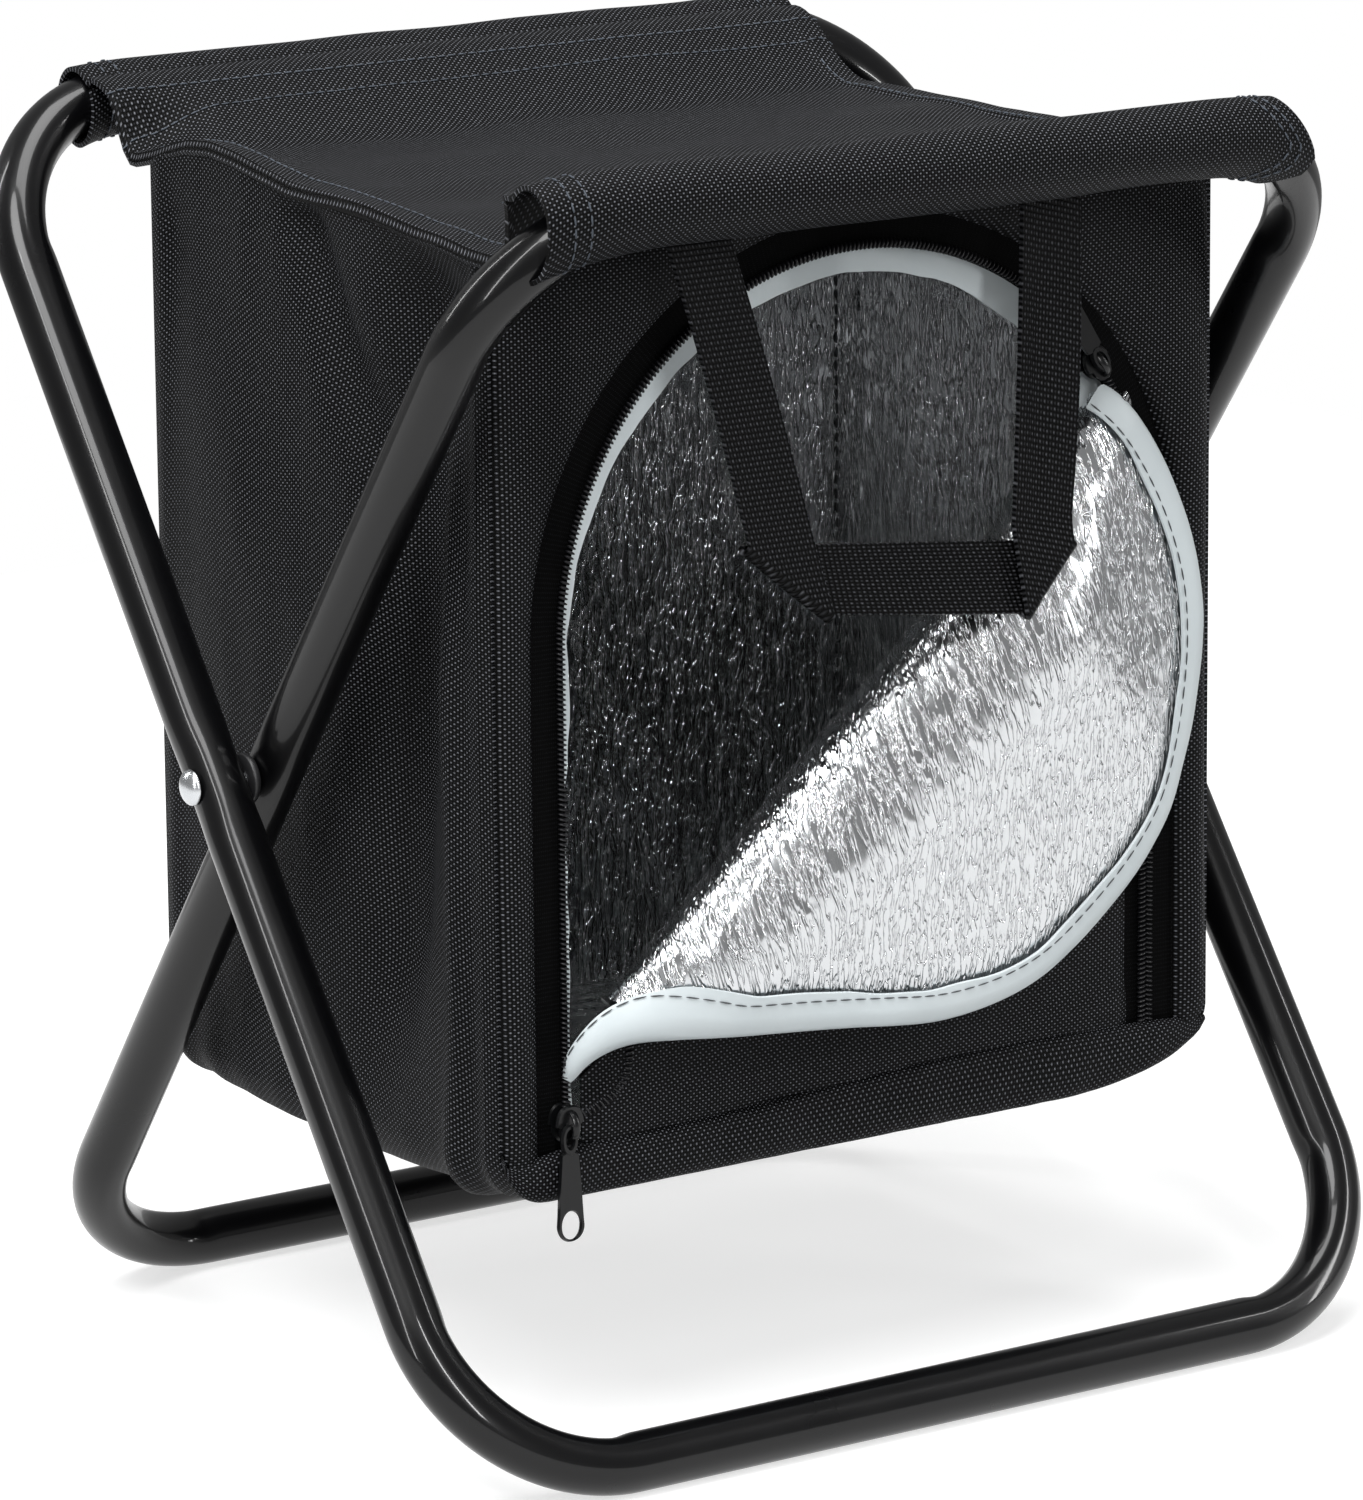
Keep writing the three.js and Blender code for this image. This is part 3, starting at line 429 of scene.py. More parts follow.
@dataclass(frozen=True)
class CrinkledFoil:
    """Aluminium foil laminated to foam: a bright mirror broken up by short sharp creases."""

    name: str = "embossed aluminium foil"
    colour: str = "#c6c8ca"
    crease_mm: float = 1.7
    crease_length_mm: float = 8.5
    crease_share: float = 0.085
    depth_mm: float = 0.42
    roughness: float = 0.16

    def material(self) -> Material:
        """Build the node material.

        Returns:
            The material.
        """
        material = bpy.data.materials.new(self.name)
        tree = empty_tree(material)
        uv = add_node(tree, "ShaderNodeUVMap", uv_map=UV_NAME)
        spun = add_node(tree, "ShaderNodeVectorMath", {1: (1 / self.crease_mm, 1 / self.crease_length_mm, 0)},
                        {0: uv}, operation="MULTIPLY")
        warp = add_node(tree, "ShaderNodeTexNoise", {"Scale": 0.5, "Detail": 1.0}, {"Vector": spun})
        bent = add_node(tree, "ShaderNodeVectorMath", {1: (1.1, 0.6, 0)}, {0: warp.outputs["Color"], 2: spun},
                        operation="MULTIPLY_ADD")
        creases = add_node(tree, "ShaderNodeTexNoise", {"Scale": 1.0, "Detail": 2.0, "Roughness": 0.5},
                           {"Vector": bent})
        centred = add_node(tree, "ShaderNodeMath", {1: 0.5}, {0: creases}, operation="SUBTRACT")
        ridged = add_node(tree, "ShaderNodeMath", links={0: centred}, operation="ABSOLUTE")
        # The emboss is flat between its creases, so only thin lines turn away from the light
        plates = add_node(tree, "ShaderNodeMapRange", {1: 0.0, 2: self.crease_share, 3: 0.0, 4: 1.0}, {0: ridged},
                          interpolation_type="SMOOTHSTEP")
        height = add_node(tree, "ShaderNodeMath", {1: 0.5}, {0: warp, 2: plates}, operation="MULTIPLY_ADD")
        bump = add_node(tree, "ShaderNodeBump", {"Distance": self.depth_mm * MM}, {"Height": height})
        rough = add_node(tree, "ShaderNodeMapRange", {
            1: 0.3, 2: 0.7, 3: self.roughness - 0.04, 4: self.roughness + 0.08}, {0: warp})
        shader = add_node(tree, "ShaderNodeBsdfPrincipled", {"Base Color": linear(self.colour), "Metallic": 1.0},
                          {"Roughness": rough, "Normal": bump})
        add_node(tree, "ShaderNodeOutputMaterial", links={"Surface": shader})
        return material


@dataclass(frozen=True)
class CoatedSurface:
    """A hard or coated surface with a fine skin: powder coat, plated metal, nylon or vinyl."""

    name: str
    low: str
    high: str
    roughness: float
    grain_mm: float
    grain_depth_mm: float
    metallic: float = 0.0
    coat: float = 0.0
    ior: float = 1.5
    coat_roughness: float = 0.2
    shine: float = 0.5
    patch_mm: float = 25.0

    def material(self) -> Material:
        """Build the node material.

        Returns:
            The material.
        """
        material = bpy.data.materials.new(self.name)
        tree = empty_tree(material)
        place = add_node(tree, "ShaderNodeTexCoord").outputs["Object"]
        grain = add_node(tree, "ShaderNodeTexNoise", {"Scale": 1 / (self.grain_mm * MM), "Detail": 2.0},
                         {"Vector": place})
        patches = add_node(tree, "ShaderNodeTexNoise", {"Scale": 1 / (self.patch_mm * MM), "Detail": 3.0},
                           {"Vector": place})
        colour = add_node(tree, "ShaderNodeMix", {6: linear(self.low), 7: linear(self.high)}, {0: patches},
                          data_type="RGBA")
        rough = add_node(tree, "ShaderNodeMapRange", {
            1: 0.3, 2: 0.7, 3: self.roughness * 0.88, 4: self.roughness * 1.12}, {0: patches})
        bump = add_node(tree, "ShaderNodeBump", {"Distance": self.grain_depth_mm * MM}, {"Height": grain})
        values = {"Metallic": self.metallic, "Coat Weight": self.coat, "Coat Roughness": self.coat_roughness,
                  "Specular IOR Level": self.shine}
        # A metal keeps the default
        if self.metallic < 0.5:
            values["IOR"] = self.ior
        shader = add_node(tree, "ShaderNodeBsdfPrincipled", values,
                          {"Base Color": colour.outputs[2], "Roughness": rough, "Normal": bump})
        add_node(tree, "ShaderNodeOutputMaterial", links={"Surface": shader})
        return material


# Plain-weave polyester of thick yarn: black, with a grey glint painted on the crown of each thread
OXFORD = WovenCloth("oxford polyester", "#000000", "#787a80", 0.82, Weave.PLAIN)
# Zip tape: a dense dull twill with a faint glint painted on its crowns, darker than the cloth round it; part of that
# darkness is painted shade of the recess beside the coil
ZIP_TAPE = WovenCloth("twill zip tape", "#000000", "#17181a", 0.6, Weave.TWILL, 0.1, 0.8, 0.05)
# Polypropylene webbing: coarse ribs of shiny yarn across the band, with the shine painted as a lighter colour on
# each rib's crown
WEBBING = WovenCloth("polypropylene webbing", "#000000", "#4e4f53", 0.98, Weave.RIBBED, 0.35, 0.5, 0.06, 0.7)
FOIL = CrinkledFoil()
# Powder coat on steel: deep black with long soft reflections and a faint orange peel
POWDER_COAT = CoatedSurface("black powder coat", "#030304", "#060607", 0.3, 1.6, 0.006, coat=0.4,
                            coat_roughness=0.07, shine=0.15)
# Zinc plate: pale and bright with a fine bloom
ZINC = CoatedSurface("bright zinc plate", "#b9bcbf", "#d0d2d4", 0.26, 0.5, 0.01, metallic=1.0)
# Moulded nylon: dull black with a fine grain
NYLON = CoatedSurface("moulded nylon", "#141415", "#1c1c1e", 0.45, 0.3, 0.01)
# Zip coil: drawn monofilament, shiny on each turn
COIL = CoatedSurface("nylon monofilament coil", "#09090b", "#17171a", 0.36, 0.4, 0.005, ior=1.4)
# Enamelled die casting: smooth glossy black
ENAMEL = CoatedSurface("black enamelled zinc", "#060607", "#0b0c0d", 0.3, 0.8, 0.008, coat=0.2,
                       coat_roughness=0.1, shine=0.2)
# Plasticised vinyl: cool white, slightly glossy, faintly dimpled
VINYL = CoatedSurface("white vinyl binding", "#bcc5c8", "#ccd3d5", 0.45, 2.5, 0.05, ior=1.4)
# Sewing thread: dull blue-grey polyester
THREAD = CoatedSurface("blue-grey sewing thread", "#2c3138", "#454c55", 0.7, 0.2, 0.01)
DARK_THREAD = CoatedSurface("dark grey sewing thread", "#2b2d30", "#4a4d50", 0.7, 0.2, 0.01)


class FinishShelf:
    """Every material, made once."""

    def __init__(self) -> None:
        """Build the materials."""
        self.oxford, self.zip_tape, self.webbing = (f.material() for f in (OXFORD, ZIP_TAPE, WEBBING))
        self.foil = FOIL.material()
        self.powder, self.zinc, self.enamel = (f.material() for f in (POWDER_COAT, ZINC, ENAMEL))
        self.nylon, self.coil, self.vinyl = (f.material() for f in (NYLON, COIL, VINYL))
        self.thread, self.dark_thread = THREAD.material(), DARK_THREAD.material()


# What repeats along a line

@dataclass(frozen=True)
class Bead:
    """A stitch or a turn of a zip coil: its pitch, and its length along the line, thickness and width, in mm."""

    pitch: float
    size: Triple


COIL_TURN = Bead(1.35, (0.85, 2.3, 2.9))
SEAT_STITCH = Bead(3.4, (2.8, 0.55, 0.55))
LINING_STITCH = Bead(4.2, (3.4, 0.7, 0.9))
BINDING_STITCH = Bead(4.8, (3.9, 0.45, 0.42))


class BeadRun:
    """Geometry Nodes tree that lays small beads along lines: stitches, or the turns of a zip coil."""

    def __init__(self) -> None:
        """Build the node tree with its named inputs."""
        tree = self.tree = bpy.data.node_groups.new("bead_run", "GeometryNodeTree")
        face = tree.interface
        self.sockets: dict[str, str] = {}
        for name, kind in (("Lines", "NodeSocketGeometry"), ("Pitch", "NodeSocketFloat"),
                           ("Size", "NodeSocketVector"), ("Tilt", "NodeSocketVector"),
                           ("Finish", "NodeSocketMaterial")):
            socket = face.new_socket(name=name, in_out="INPUT", socket_type=kind)
            self.sockets[name] = socket.identifier
        face.new_socket(name="Beads", in_out="OUTPUT", socket_type="NodeSocketGeometry")
        start = add_node(tree, "NodeGroupInput").outputs
        line = add_node(tree, "GeometryNodeMeshToCurve", links={0: start["Lines"]})
        spaced = add_node(tree, "GeometryNodeResampleCurve", links={"Curve": line, "Length": start["Pitch"]},
                          mode="LENGTH")
        bead = add_node(tree, "GeometryNodeMeshIcoSphere", {"Radius": 0.5, "Subdivisions": 2})
        shaped = add_node(tree, "GeometryNodeTransform", links={"Geometry": bead, "Scale": start["Size"]})
        tilted = add_node(tree, "GeometryNodeTransform", links={"Geometry": shaped, "Rotation": start["Tilt"]})
        tangent = add_node(tree, "GeometryNodeInputTangent")
        turn = add_node(tree, "FunctionNodeAlignRotationToVector", links={"Vector": tangent}, axis="X")
        laid = add_node(tree, "GeometryNodeInstanceOnPoints",
                        links={"Points": spaced, "Instance": tilted, "Rotation": turn})
        real = add_node(tree, "GeometryNodeRealizeInstances", links={0: laid})
        smooth = add_node(tree, "GeometryNodeSetShadeSmooth", links={0: real})
        dressed = add_node(tree, "GeometryNodeSetMaterial", links={"Geometry": smooth, "Material": start["Finish"]})
        add_node(tree, "NodeGroupOutput", links={0: dressed})

    def lay(self, name: str, lines: Sequence[Array], bead: Bead, material: Material,
            tilt: float = 0.0) -> Piece:
        """Lay beads along lines and return them as one plain mesh.

        Args:
            name: Object name.
            lines: Polylines in millimetres.
            bead: Pitch and size of the beads.
            material: Finish of the beads.
            tilt: Turn of each bead within the wall's plane, in degrees.

        Returns:
            The beads as an object.
        """
        points = np.concatenate(lines) * MM
        edges, first = [], 0
        for line in lines:
            edges += [(first + k, first + k + 1) for k in range(len(line) - 1)]
            first += len(line)
        mesh = bpy.data.meshes.new(name)
        mesh.from_pydata(points.tolist(), edges, [])
        piece = linked(name, mesh)
        modifier = piece.modifiers.new("beads", "NODES")
        modifier.node_group = self.tree
        for key, value in (("Pitch", bead.pitch * MM), ("Size", [s * MM for s in bead.size]),
                           ("Tilt", [0.0, math.radians(tilt), 0.0]), ("Finish", material)):
            modifier[self.sockets[key]] = value
        graph = bpy.context.evaluated_depsgraph_get()
        made = bpy.data.meshes.new_from_object(piece.evaluated_get(graph))
        made.name = name
        piece.modifiers.clear()
        piece.data = made
        return piece


# The stool's sizes, in the same frame as the solids

@dataclass(frozen=True)
class StoolSizes:
    """Sizes in millimetres that several pieces share."""

    tube_radius: float = 8.0
    outer_half_width: float = 152.0
    inner_half_width: float = 134.4
    rail_y: float = 123.0
    rail_z: float = 343.0
    bend_radius: float = 50.0
    pivot_z: float = 175.5
    bag_half_width: float = 118.0
    bag_half_depth: float = 85.0
    bag_bottom: float = 72.0
    bag_corner: float = 14.0
    wall_corner: float = 10.0
    bottom_sag: float = 5.0
    bag_top: float = 332.0
    zip_radius: float = 96.0
    zip_centre_z: float = 220.0
    seat_edge_y: float = 114.6
    seat_edge_z: float = 350.0
    seat_sag: float = 19.0
    seat_flat_half_depth: float = 74.0
    far_corner_width: float = 55.0
    far_corner_height: float = 18.0

    @property
    def half_leg(self) -> float:
        """Distance from the pivot to a rail."""
        return math.hypot(self.rail_y, self.rail_z - self.pivot_z)

    @property
    def lean(self) -> float:
        """Lean of a loop from the vertical, in radians."""
        return math.atan2(self.rail_y, self.rail_z - self.pivot_z)

    @property
    def front_y(self) -> float:
        """The front face of the front wall."""
        return -self.bag_half_depth

    def seat_height(self, y: Array) -> Array:
        """Height of the seat's top face across the stool."""
        ramp = (np.abs(y) - self.seat_flat_half_depth) / (self.seat_edge_y - self.seat_flat_half_depth)
        return self.seat_edge_z - self.seat_sag * (1 + np.cos(np.pi * np.clip(ramp, 0, 1))) / 2

    def bottom_height(self, y: Array) -> Array:
        """Height of the bag's bottom, sagging in the middle."""
        return self.bag_bottom - self.bottom_sag * (1 - (np.asarray(y) / self.bag_half_depth) ** 2)

    def rail_drop(self, x: Array, half_width: float) -> Array:
        """How far a loop's centreline has bent away from its rail's line at a place along it."""
        past = np.clip((np.abs(x) - (half_width - self.bend_radius)) / self.bend_radius, 0, 0.999)
        return self.bend_radius * (1 - np.sqrt(1 - past ** 2))


SIZES = StoolSizes()
# How far the walls stay below the seat's top face
SEAT_CLEARANCE = 2.2
# Depth and height along the hem of the seat's left side, where the seam wanders
LEFT_HEM = ((-100, 327.5), (-88, 327), (-64, 328.6), (-41, 330.6), (-4, 332.5), (12, 333), (26, 334.5),
            (40, 337), (52, 338), (64, 337.4), (74, 335.4), (83, 332.6), (94, 330))


def hem_offset(x: Array, y: Array) -> Array:
    """How far the seat's left side stands above or below its even height, towards its wandering hem."""
    hem = np.interp(y, *np.array(LEFT_HEM).T) - SIZES.seat_height(y)
    return hem * smoothstep(-88, -119, x) * smoothstep(104, 92, np.abs(y))


def under_seat(place: Array, y: float) -> Array:
    """Heights of points (x, z) of a wall at a depth, lowered where they would stand through the seat."""
    roof = SIZES.seat_height(y) + hem_offset(place[..., 0], y) - SEAT_CLEARANCE
    return np.minimum(place[..., 1], roof)


def dress(piece: Piece, slot: str, *nodes: str) -> Piece:
    """Hide the solids that a piece stands for, and report it.

    Args:
        piece: The piece.
        slot: Name of its slot; not used.
        *nodes: Names of the solids.

    Returns:
        The piece.
    """
    if nodes:
        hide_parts(*nodes)
    LOG.info("%s: %d faces", piece.name, len(piece.data.polygons))
    return piece


@dataclass
class CrossedFrame:
    """The two bent loops, their rivets and spacers."""

    finish: FinishShelf
    ring_points: int = 40
    bend_steps: int = 32
    kink_mm: float = 1.1
    crimp_mm: float = 0.5
    crimp_reach: float = 13.0
    crimp_swell: float = 0.04
    butt_gap: float = 0.6
    bore_radius: float = 6.8
    bore_depth: float = 36.0
    rivet_head_x: float = 159.8
    rivet_head_radius: float = 5.0
    rivet_head_height: float = 2.6
    rivet_shank: tuple[Pair, ...] = (
        (125.3, 1.4), (125.6, 2.4), (126.3, 3.0), (126.5, 2.9), (126.5, 2.5))
    washer: tuple[Pair, ...] = (
        (142.2, 2.7), (142.2, 6.7), (142.5, 7.0), (143.9, 7.0), (144.2, 6.7), (144.2, 2.7))

    def loop_line(self, half_width: float) -> tuple[Array, Array, Array]:
        """Stations round a loop in its own plane, from butt joint to butt joint.

        Args:
            half_width: Half the loop's width between centrelines.

        Returns:
            Centres (x, w), tangents (x, w) and how much each station is bent.
        """
        r, reach = SIZES.bend_radius, SIZES.half_leg
        cx, cw = half_width - r, SIZES.half_leg - r
        stations: list[tuple[Array, Array, float]] = []

        def straight(a: Pair, b: Pair, steps: int) -> None:
            """Add stations from a up to but not including b."""
            way = np.array(b) - np.array(a)
            stations.extend((a + way * k / steps, way / np.linalg.norm(way), 0.0) for k in range(steps))

        def bend(mx: float, mw: float, start_deg: float) -> None:
            """Add the stations of one clockwise quarter bend.

            Args:
                mx: The bend's middle across the loop.
                mw: The bend's middle along the legs.
                start_deg: Direction from the middle to its first station.
            """
            for k in range(self.bend_steps):
                angle = math.radians(start_deg - 90 * k / self.bend_steps)
                out = np.array([math.cos(angle), math.sin(angle)])
                eased = float(smoothstep(0, 0.1, min(k, self.bend_steps - k) / self.bend_steps))
                stations.append((np.array([mx, mw]) + r * out, np.array([out[1], -out[0]]), eased))

        straight((self.butt_gap / 2, reach), (cx, reach), 4)
        bend(cx, cw, 90)
        straight((half_width, cw), (half_width, -cw), 90)
        bend(cx, -cw, 0)
        straight((cx, -reach), (-cx, -reach), 6)
        bend(-cx, -cw, -90)
        straight((-half_width, -cw), (-half_width, cw), 90)
        bend(-cx, cw, 180)
        straight((-cx, reach), (-self.butt_gap / 2, reach), 4)
        stations.append((np.array([-self.butt_gap / 2, reach]), np.array([1.0, 0.0]), 0.0))
        centres, tangents, bends = (np.array(column) for column in zip(*stations))
        return centres, tangents, bends

    def loop(self, name: str, half_width: float, lean: float) -> Piece:
        """Sweep one bent tube, pinched a little inside its bends and flattened at its rivets.

        Args:
            name: Object name.
            half_width: Half the loop's width between centrelines.
            lean: Turn of the loop about the pivot, in radians.

        Returns:
            The tube as an object.
        """
        centres, tangents, bends = self.loop_line(half_width)
        angle = full_turn(self.ring_points)
        out = np.stack([-tangents[:, 1], tangents[:, 0]], 1)
        pinch = np.maximum(0, -np.cos(angle)) ** 3
        crimp = np.exp(-(centres[:, 1] / self.crimp_reach) ** 4) * (np.abs(centres[:, 0]) > half_width - 1)
        radius = SIZES.tube_radius - self.kink_mm * bends[:, None] * pinch
        sideways = radius * np.cos(angle) * (1 - self.crimp_mm / SIZES.tube_radius * crimp[:, None])
        depth = radius * np.sin(angle) * (1 + self.crimp_swell * crimp[:, None])
        flat = centres[:, None, :] + sideways[:, :, None] * out[:, None, :]
        rings = np.stack([flat[..., 0], depth, flat[..., 1]], -1)
        rings = [self.bore_ring(rings[0], 1, self.bore_depth), self.bore_ring(rings[0], 1, 0.0), *rings,
                 self.bore_ring(rings[-1], -1, 0.0), self.bore_ring(rings[-1], -1, self.bore_depth)]
        x, y, w = np.moveaxis(np.array(rings), -1, 0)
        c, s = math.cos(lean), math.sin(lean)
        turned = np.stack([x, y * c - w * s, SIZES.pivot_z + y * s + w * c], -1)
        return swept_tube(name, turned, self.finish.powder)

    def bore_ring(self, ring: Array, inward: int, depth: float) -> Array:
        """The rim or the far end of the bore in a butt end, from the end's outer ring."""
        middle = ring.mean(0)
        return middle + (ring - middle) * self.bore_radius / SIZES.tube_radius + [inward * depth, 0, 0]

    @staticmethod
    def rings(profile: Sequence[Pair], side: int) -> Array:
        """Rings about the pivot's axis from a profile of (x, radius), on one side of the stool."""
        angle = full_turn(36)
        return np.array([np.stack([np.full_like(angle, side * x), r * np.cos(angle),
                                   SIZES.pivot_z + r * np.sin(angle)], -1) for x, r in profile])

    def rivet(self, side: int, word: str) -> Piece:
        """A domed rivet with a slight rim and a clinched end.

        Args:
            side: 1 on the right, -1 on the left.
            word: The side in words.

        Returns:
            The rivet as an object.
        """
        head, shank = self.rivet_head_x, self.rivet_shank
        dome = [(head + self.rivet_head_height * math.sin(a), max(0.05, self.rivet_head_radius * math.cos(a)))
                for a in np.linspace(0.12, math.pi / 2, 10)]
        profile = [*shank, (head, shank[-1][1]), (head, 4.7), (head + 0.12, 4.95), *dome]
        return swept_tube(f"pivot_rivet_head_{word}", self.rings(profile, side), self.finish.zinc)

    def spacer(self, side: int, word: str) -> Piece:
        """The nylon washer between the loops, with eased rims."""
        rings = self.rings(self.washer, side)
        return swept_tube(f"pivot_washer_{word}", rings, self.finish.nylon, joined=True)

    def build(self) -> None:
        """Make the frame's pieces and set them on their bodies."""
        outer = self.loop("outer_leg_loop", SIZES.outer_half_width, -SIZES.lean)
        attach(dress(outer, "tube_black", "outer_tube"), "outer_frame")
        inner = self.loop("inner_leg_loop", SIZES.inner_half_width, SIZES.lean)
        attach(dress(inner, "tube_black", "inner_tube"), "inner_frame")
        for side, word in ((1, "right"), (-1, "left")):
            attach(dress(self.rivet(side, word), "zinc", f"pivot_rivet_{word}"), "outer_frame")
            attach(dress(self.spacer(side, word), "nylon", f"pivot_spacer_{word}"), "outer_frame")


@dataclass
class SeatSling:
    """The seat: one cloth that wraps the front rail, sags across and wraps the rear rail."""

    finish: FinishShelf
    beads: BeadRun
    front_half_width: float = 124.0
    rear_half_width: float = 119.5
    left_reach: float = 120.5
    right_reach: float = 119.5
    sleeve_left: float = 129.5
    sleeve_cut: tuple[Pair, ...] = ((0, 109), (0.5, 120.5), (0.72, 117), (1, 105))
    sleeve_across: float = 9.9
    sleeve_above: float = 9.6
    sleeve_below: float = 11.6
    sleeve_leave: float = 0.72
    seat_tuck: float = 1.2
    cloth: float = 1.3
    columns: int = 190
    sleeve_rows: int = 44
    seat_rows: int = 90

    def section(self) -> tuple[Array, Array, Array]:
        """The cloth's cross-section from the front seam to the rear seam.

        Returns:
            Places (y, z) along the cloth, the share of each sleeve in them (-1 on the front
            sleeve, 1 on the rear one, 0 between them) and how far each place has passed under its rail.
        """
        turn = np.linspace(2 * math.pi + 0.5, self.sleeve_leave, self.sleeve_rows)
        ring_z = np.where(np.sin(turn) > 0, self.sleeve_above, self.sleeve_below) * np.sin(turn)
        front = np.stack([-SIZES.rail_y + self.sleeve_across * np.cos(turn), SIZES.rail_z + ring_z], 1)
        under = np.clip((turn - 1.5 * math.pi) / (0.5 * math.pi + 0.5), 0, 1)
        edge = front[-1, 0] + self.seat_tuck
        y = np.linspace(edge, -edge, self.seat_rows)
        seat = np.stack([y, SIZES.seat_height(y)], 1)
        rear = front[::-1] * np.array([-1, 1])
        part = np.concatenate([np.full(len(front), -1), np.zeros(len(seat)), np.full(len(rear), 1)])
        return np.concatenate([front, seat, rear]), part, np.concatenate([under, np.zeros(len(seat)), under[::-1]])

    def side_limits(self, line: Array, part: Array, under: Array) -> tuple[Array, Array]:
        """How far the cloth reaches to each side along the cross-section.

        Args:
            line: Places (y, z) along the cloth.
            part: Which sleeve each place is on.
            under: How far each place has passed under its rail.

        Returns:
            Left and right reach of each place.
        """
        low = self.lowness(line[:, 1])
        share = smoothstep(-110, 110, line[:, 0])
        near = smoothstep(96, 114, -line[:, 0]) * (part <= 0)
        # The open left end stands up as a loop; the right end is cut square to the bend below it
        left = self.left_reach + (self.rear_half_width - self.left_reach) * share
        left = np.where(part == -1, self.sleeve_left - 2.5 * low - 24 * under,
                        left + (self.sleeve_left - left) * near)
        cut_line = np.interp(low, *np.array(self.sleeve_cut).T)
        right = self.right_reach + (self.sleeve_cut[0][1] - self.right_reach) * near
        return left, np.where(part == -1, cut_line - 5 * under, right)

    def lowness(self, z: Array) -> Array:
        """How far down a sleeve a height is, from 0 at its top to 1 at its underside."""
        return np.clip((SIZES.rail_z + self.sleeve_above - z) / (self.sleeve_above + self.sleeve_below), 0, 1)

    def sheet_points(self) -> tuple[Array, Array]:
        """The cloth's top face as a grid, and its cloth coordinates.

        Returns:
            Points (columns by rows by 3) and cloth coordinates in millimetres.
        """
        line, part, under = self.section()
        left, right = self.side_limits(line, part, under)
        even = np.linspace(-1, 1, self.columns)
        u = np.sign(even) * (1 - (1 - np.abs(even)) ** 1.35)
        x = u[:, None] * np.where(u[:, None] < 0, left, right)
        y, z = (np.repeat(line[None, :, k], self.columns, 0) for k in (0, 1))
        running = arc_lengths(line, 0)
        low = self.lowness(z)
        for sign, loop_half in ((-1, SIZES.inner_half_width), (1, SIZES.outer_half_width)):
            near = smoothstep(0.45, 1.0, sign * line[:, 0] / SIZES.seat_edge_y)
            drop = SIZES.rail_drop(x, loop_half) * near
            loose = (x < 0) & (sign < 0)
            reach = np.where(part == sign, np.where(loose, 0.1 + 0.26 * low, 0.22 + 0.76 * low), 0.15)
            z = z - drop * math.cos(SIZES.lean) * reach
            y = y - sign * drop * math.sin(SIZES.lean) * reach
        seat = (part == 0) * smoothstep(112, 88, np.abs(y))
        # Slack cloth: shallow drag lines run from the rails, and the left hem wanders up and down
        z = z + 1.0 * lattice_noise(x / 46, y / 24, 3) * seat + 0.35 * lattice_noise(x / 17, y / 60, 5) * seat
        z = z + hem_offset(x, y) * (part == 0)
        z = z + 0.45 * lattice_noise(x / 26 + running / 40, running / 11, 8) * (part != 0)
        # Hems: a doubled edge rolls over the seam with the bag's side
        inset = np.minimum(x + left, right - x)
        fray = 0.5 * lattice_noise(y / 13, np.zeros_like(y), 61)
        z = z + seat * ((1.0 + fray) * smoothstep(10.5, 8.6, inset) - 3.0 * smoothstep(1.6, 0, inset))
        return np.stack([x, y, z], -1), np.stack([x, running + 0 * x], -1)

    def stitch_lines(self, points: Array) -> list[Array]:
        """Lines of stitches: double rows near the sleeve ends and along the seat-side seams.

        Args:
            points: The cloth's top face.

        Returns:
            The lines.
        """
        lines = []
        rows, wrap = points.shape[1], self.sleeve_rows
        lifted = points + grid_normals(points) * 0.15
        for column in (11, 16, self.columns - 17, self.columns - 12):
            lines += [lifted[column, 4:wrap], lifted[column, rows - wrap:rows - 4]]
        for row in (wrap + 4, wrap + 7, rows - wrap - 5, rows - wrap - 8):
            lines.append(lifted[2:-2, row])
        for column in (13, self.columns - 14):
            lines.append(lifted[column, wrap + 10:rows - wrap - 10])
        return lines

    def build(self) -> None:
        """Make the seat cloth and its stitches, with their places baked into their vertices."""
        points, uvs = self.sheet_points()
        if looks_away(points, Look.UP):
            points, uvs = points[::-1], uvs[::-1]
        cloth = thick_sheet("seat_sling", points, uvs, self.cloth, self.finish.oxford)
        dress(cloth, "oxford", "seat_panel", "front_sleeve", "rear_sleeve")
        seams = self.beads.lay("seat_stitches", self.stitch_lines(points), SEAT_STITCH, self.finish.thread)
        dress(seams, "oxford")
        for piece in (cloth, seams):
            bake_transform(piece)


